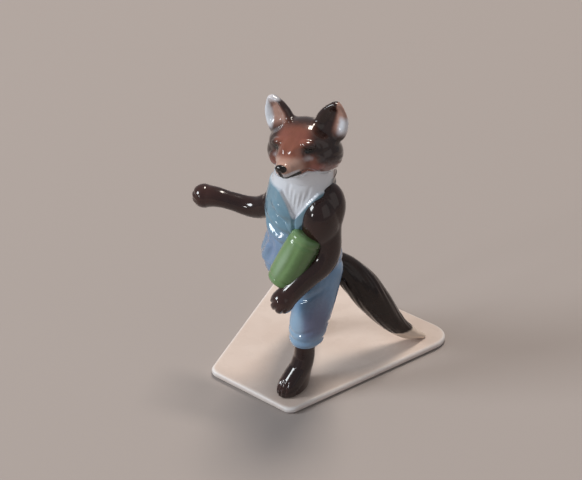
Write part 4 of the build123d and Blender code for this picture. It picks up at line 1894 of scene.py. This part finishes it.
@dataclass
class Studio:
    """Pale table, soft lamps and the camera.

    Attributes:
        lamps: The lamps.
        table: Colour of the table.
        span: Length of the table's sides, in metres.
        drop: Height of the plate's underside above the table, in metres.
        lit: Brightness of the table round the object, kept up to the horizon.
        near: Distances from the object between which the kept brightness sets in, in metres.
        glow: Even light of the room.
        sky: Colour of that light.
        aim: Point that the photographer's axis passes through, in millimetres.
        back: Direction from that point to the camera.
        distance: Distance from that point to the camera, in millimetres.
        focal: Focal length in pixels of the frame.
        frame: Width and height of the frame in pixels.
        axis: Pixel of the frame that the axis falls on.
        sensor: Width of the camera's sensor, in millimetres.
    """

    lamps: tuple[Lamp, ...] = (
        Lamp("window", (-1.20, -1.38, 1.08), (0.0, -0.01, 0.05), 0.66, 25.0, (0.92, 0.97, 1.0)),
        Lamp("ceiling", (-0.30, 0.78, 1.98), (0.0, 0.0, 0.03), 0.60, 29.0, (1.0, 0.92, 0.83)),
        Lamp("front", (-0.50, -1.86, 0.52), (0.0, 0.0, 0.05), 0.22, 3.2, (1.0, 1.0, 1.0)),
        Lamp("side", (2.40, -0.30, 1.50), (0.0, 0.0, 0.05), 2.40, 5.4, (1.0, 0.94, 0.88)),
    )
    table: Colour = srgb(166, 157, 153)
    span: float = 40.0
    drop: float = 0.00005
    lit: float = 1.1
    near: Pair = (0.3, 1.2)
    glow: float = 0.26
    sky: Colour = (0.95, 0.96, 1.0, 1.0)
    aim: Point = (13.02, -20.31, 50.0)
    back: Point = (0.5132, -0.6510, 0.5592)
    distance: float = 450.0
    focal: float = 1620.0
    frame: tuple[int, int] = (582, 480)
    axis: Pair = (305.0, 255.0)
    sensor: float = 36.0

    def build(self) -> None:
        """Set the table, the light and the camera."""
        bpy.context.scene.view_settings.view_transform = "Standard"
        self._table()
        self._light()
        self._camera()

    def _table(self) -> None:
        """Lay a plain pale table under the plate, as bright to the eye far away as close by."""
        bpy.ops.object.select_all(action="DESELECT")
        bpy.ops.mesh.primitive_plane_add(size=self.span, location=(0, 0, -self.drop))
        table = bpy.context.active_object
        table.name = "table"
        nodes = Nodes("table_top")
        nodes.feed(nodes.shader, {"Base Color": self.table, "Roughness": 0.9, "Specular IOR Level": 0.0})
        even = nodes.add("ShaderNodeEmission", {"Color": self.table, "Strength": self.lit})
        reach = nodes.add("ShaderNodeVectorMath", {0: nodes.place}, operation="LENGTH").outputs["Value"]
        rays = nodes.add("ShaderNodeLightPath", {}).outputs
        seen = rays["Is Camera Ray"]
        for kind in ("Is Glossy Ray", "Is Transmission Ray"):
            seen = nodes.reckon("MAXIMUM", seen, rays[kind])
        share = nodes.reckon("MULTIPLY", nodes.step(reach, self.near), seen)
        blend = nodes.add("ShaderNodeMixShader", {
            "Fac": share, 1: nodes.shader.outputs["BSDF"], 2: even.outputs["Emission"],
        })
        nodes.feed(nodes.tree.nodes["Material Output"], {"Surface": blend.outputs["Shader"]})
        table.data.materials.append(nodes.material)

    def _light(self) -> None:
        """Hang the lamps and give the room an even glow."""
        for lamp in self.lamps:
            lamp.hang()
        world = bpy.data.worlds.new("room")
        bpy.context.scene.world = world
        world.use_nodes = True
        glow = world.node_tree.nodes["Background"]
        glow.inputs["Color"].default_value = self.sky
        glow.inputs["Strength"].default_value = self.glow

    def _camera(self) -> None:
        """Set the camera where the photographer stood."""
        back = Vector(self.back).normalized()
        right = UP.cross(back).normalized()
        up = back.cross(right)
        eye = (Vector(self.aim) + self.distance * back) * MM
        off_x = self.frame[0] / 2 - self.axis[0]
        off_y = self.axis[1] - self.frame[1] / 2
        look = (-self.focal * back + off_x * right + off_y * up).normalized()
        side = (right - right.dot(look) * look).normalized()
        basis = Matrix((side, side.cross(look), -look)).transposed()
        bpy.ops.object.camera_add(location=eye)
        camera = bpy.context.active_object
        camera.name = "photo_camera"
        camera.matrix_world = Matrix.Translation(eye) @ basis.to_4x4()
        camera.data.sensor_width = self.sensor
        camera.data.lens = self.sensor * self.focal / self.frame[0]
        camera.data.clip_start = 0.01
        bpy.context.scene.camera = camera


LEFT_FOOT = Foot(Side.LEFT, sole=(9.8, -21.9), ankle=(11.2, -18.0), half_length=6.3)
RIGHT_FOOT = Foot(Side.RIGHT, sole=(-5.4, 2.6), ankle=(-5.0, 3.2), half_length=5.2)
LEFT_ARM = Arm(
    Side.LEFT,
    points=(
        (10.8, -10.4, 64.6), (13.24, -10.0, 63.8), (14.3, -12.2, 56.3), (15.5, -14.9, 47.1),
        (12.8, -19.65, 42.1), (10.7, -23.2, 38.4), (9.3, -25.7, 35.8),
    ),
    radii=(4.2, 4.3, 4.3, 4.0, 3.6, 3.3, 3.4),
    muscle=((13.3, -13.6, 57.8), (5.5, 5.8, 8.4)),
    paw=((9.3, -25.7, 35.6), (3.5, 3.7, 3.9), (0, 20, 0)),
    fingers=(
        ((8.8, -29.4, 37.4), (7.0, -28.8, 36.0), (6.2, -27.2, 34.0), (6.6, -25.6, 32.6)),
        ((10.6, -29.2, 36.2), (9.0, -29.0, 34.6), (8.2, -27.6, 32.8), (8.4, -25.8, 31.8)),
        ((12.0, -28.0, 35.0), (10.8, -28.0, 33.4), (10.0, -26.8, 32.2)),
    ),
)
RIGHT_ARM = Arm(
    Side.RIGHT,
    points=(
        (-1.6, -12.6, 57.2), (-4.14, -13.1, 56.4), (-9.7, -14.3, 53.9), (-17.1, -16.6, 54.3),
        (-21.4, -17.8, 54.5), (-24.6, -18.7, 54.1),
    ),
    radii=(3.8, 3.7, 3.2, 2.7, 3.0, 3.3),
    muscle=((-4.0, -12.9, 57.2), (3.2, 3.8, 4.4)),
    paw=((-25.2, -18.9, 54.0), (3.6, 3.5, 3.6), (0, 0, 12)),
    fingers=(
        ((-25.8, -21.8, 55.2), (-28.0, -20.2, 55.4), (-28.4, -18.4, 55.4)),
        ((-25.6, -22.2, 53.8), (-28.2, -20.6, 53.8), (-28.8, -18.8, 53.8)),
        ((-25.8, -21.8, 52.2), (-27.8, -20.4, 52.2), (-28.4, -18.6, 52.2)),
    ),
)


def main() -> None:
    """Build the figure piece by piece and report each one."""
    logging.basicConfig(level=logging.INFO, format="%(name)s: %(message)s")
    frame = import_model()
    LOG.info("frame with %d nodes", len(frame["nodes"]))
    stance = Stance()
    neck = Neck(stance)
    pieces = (
        Plate(), LEFT_FOOT, RIGHT_FOOT, Trousers(stance), Jacket(stance, neck), LEFT_ARM, RIGHT_ARM, Packet(),
        Tail(), Head(neck),
    )
    for piece in pieces:
        piece.build()
    Studio().build()


if __name__ == "__main__":
    main()
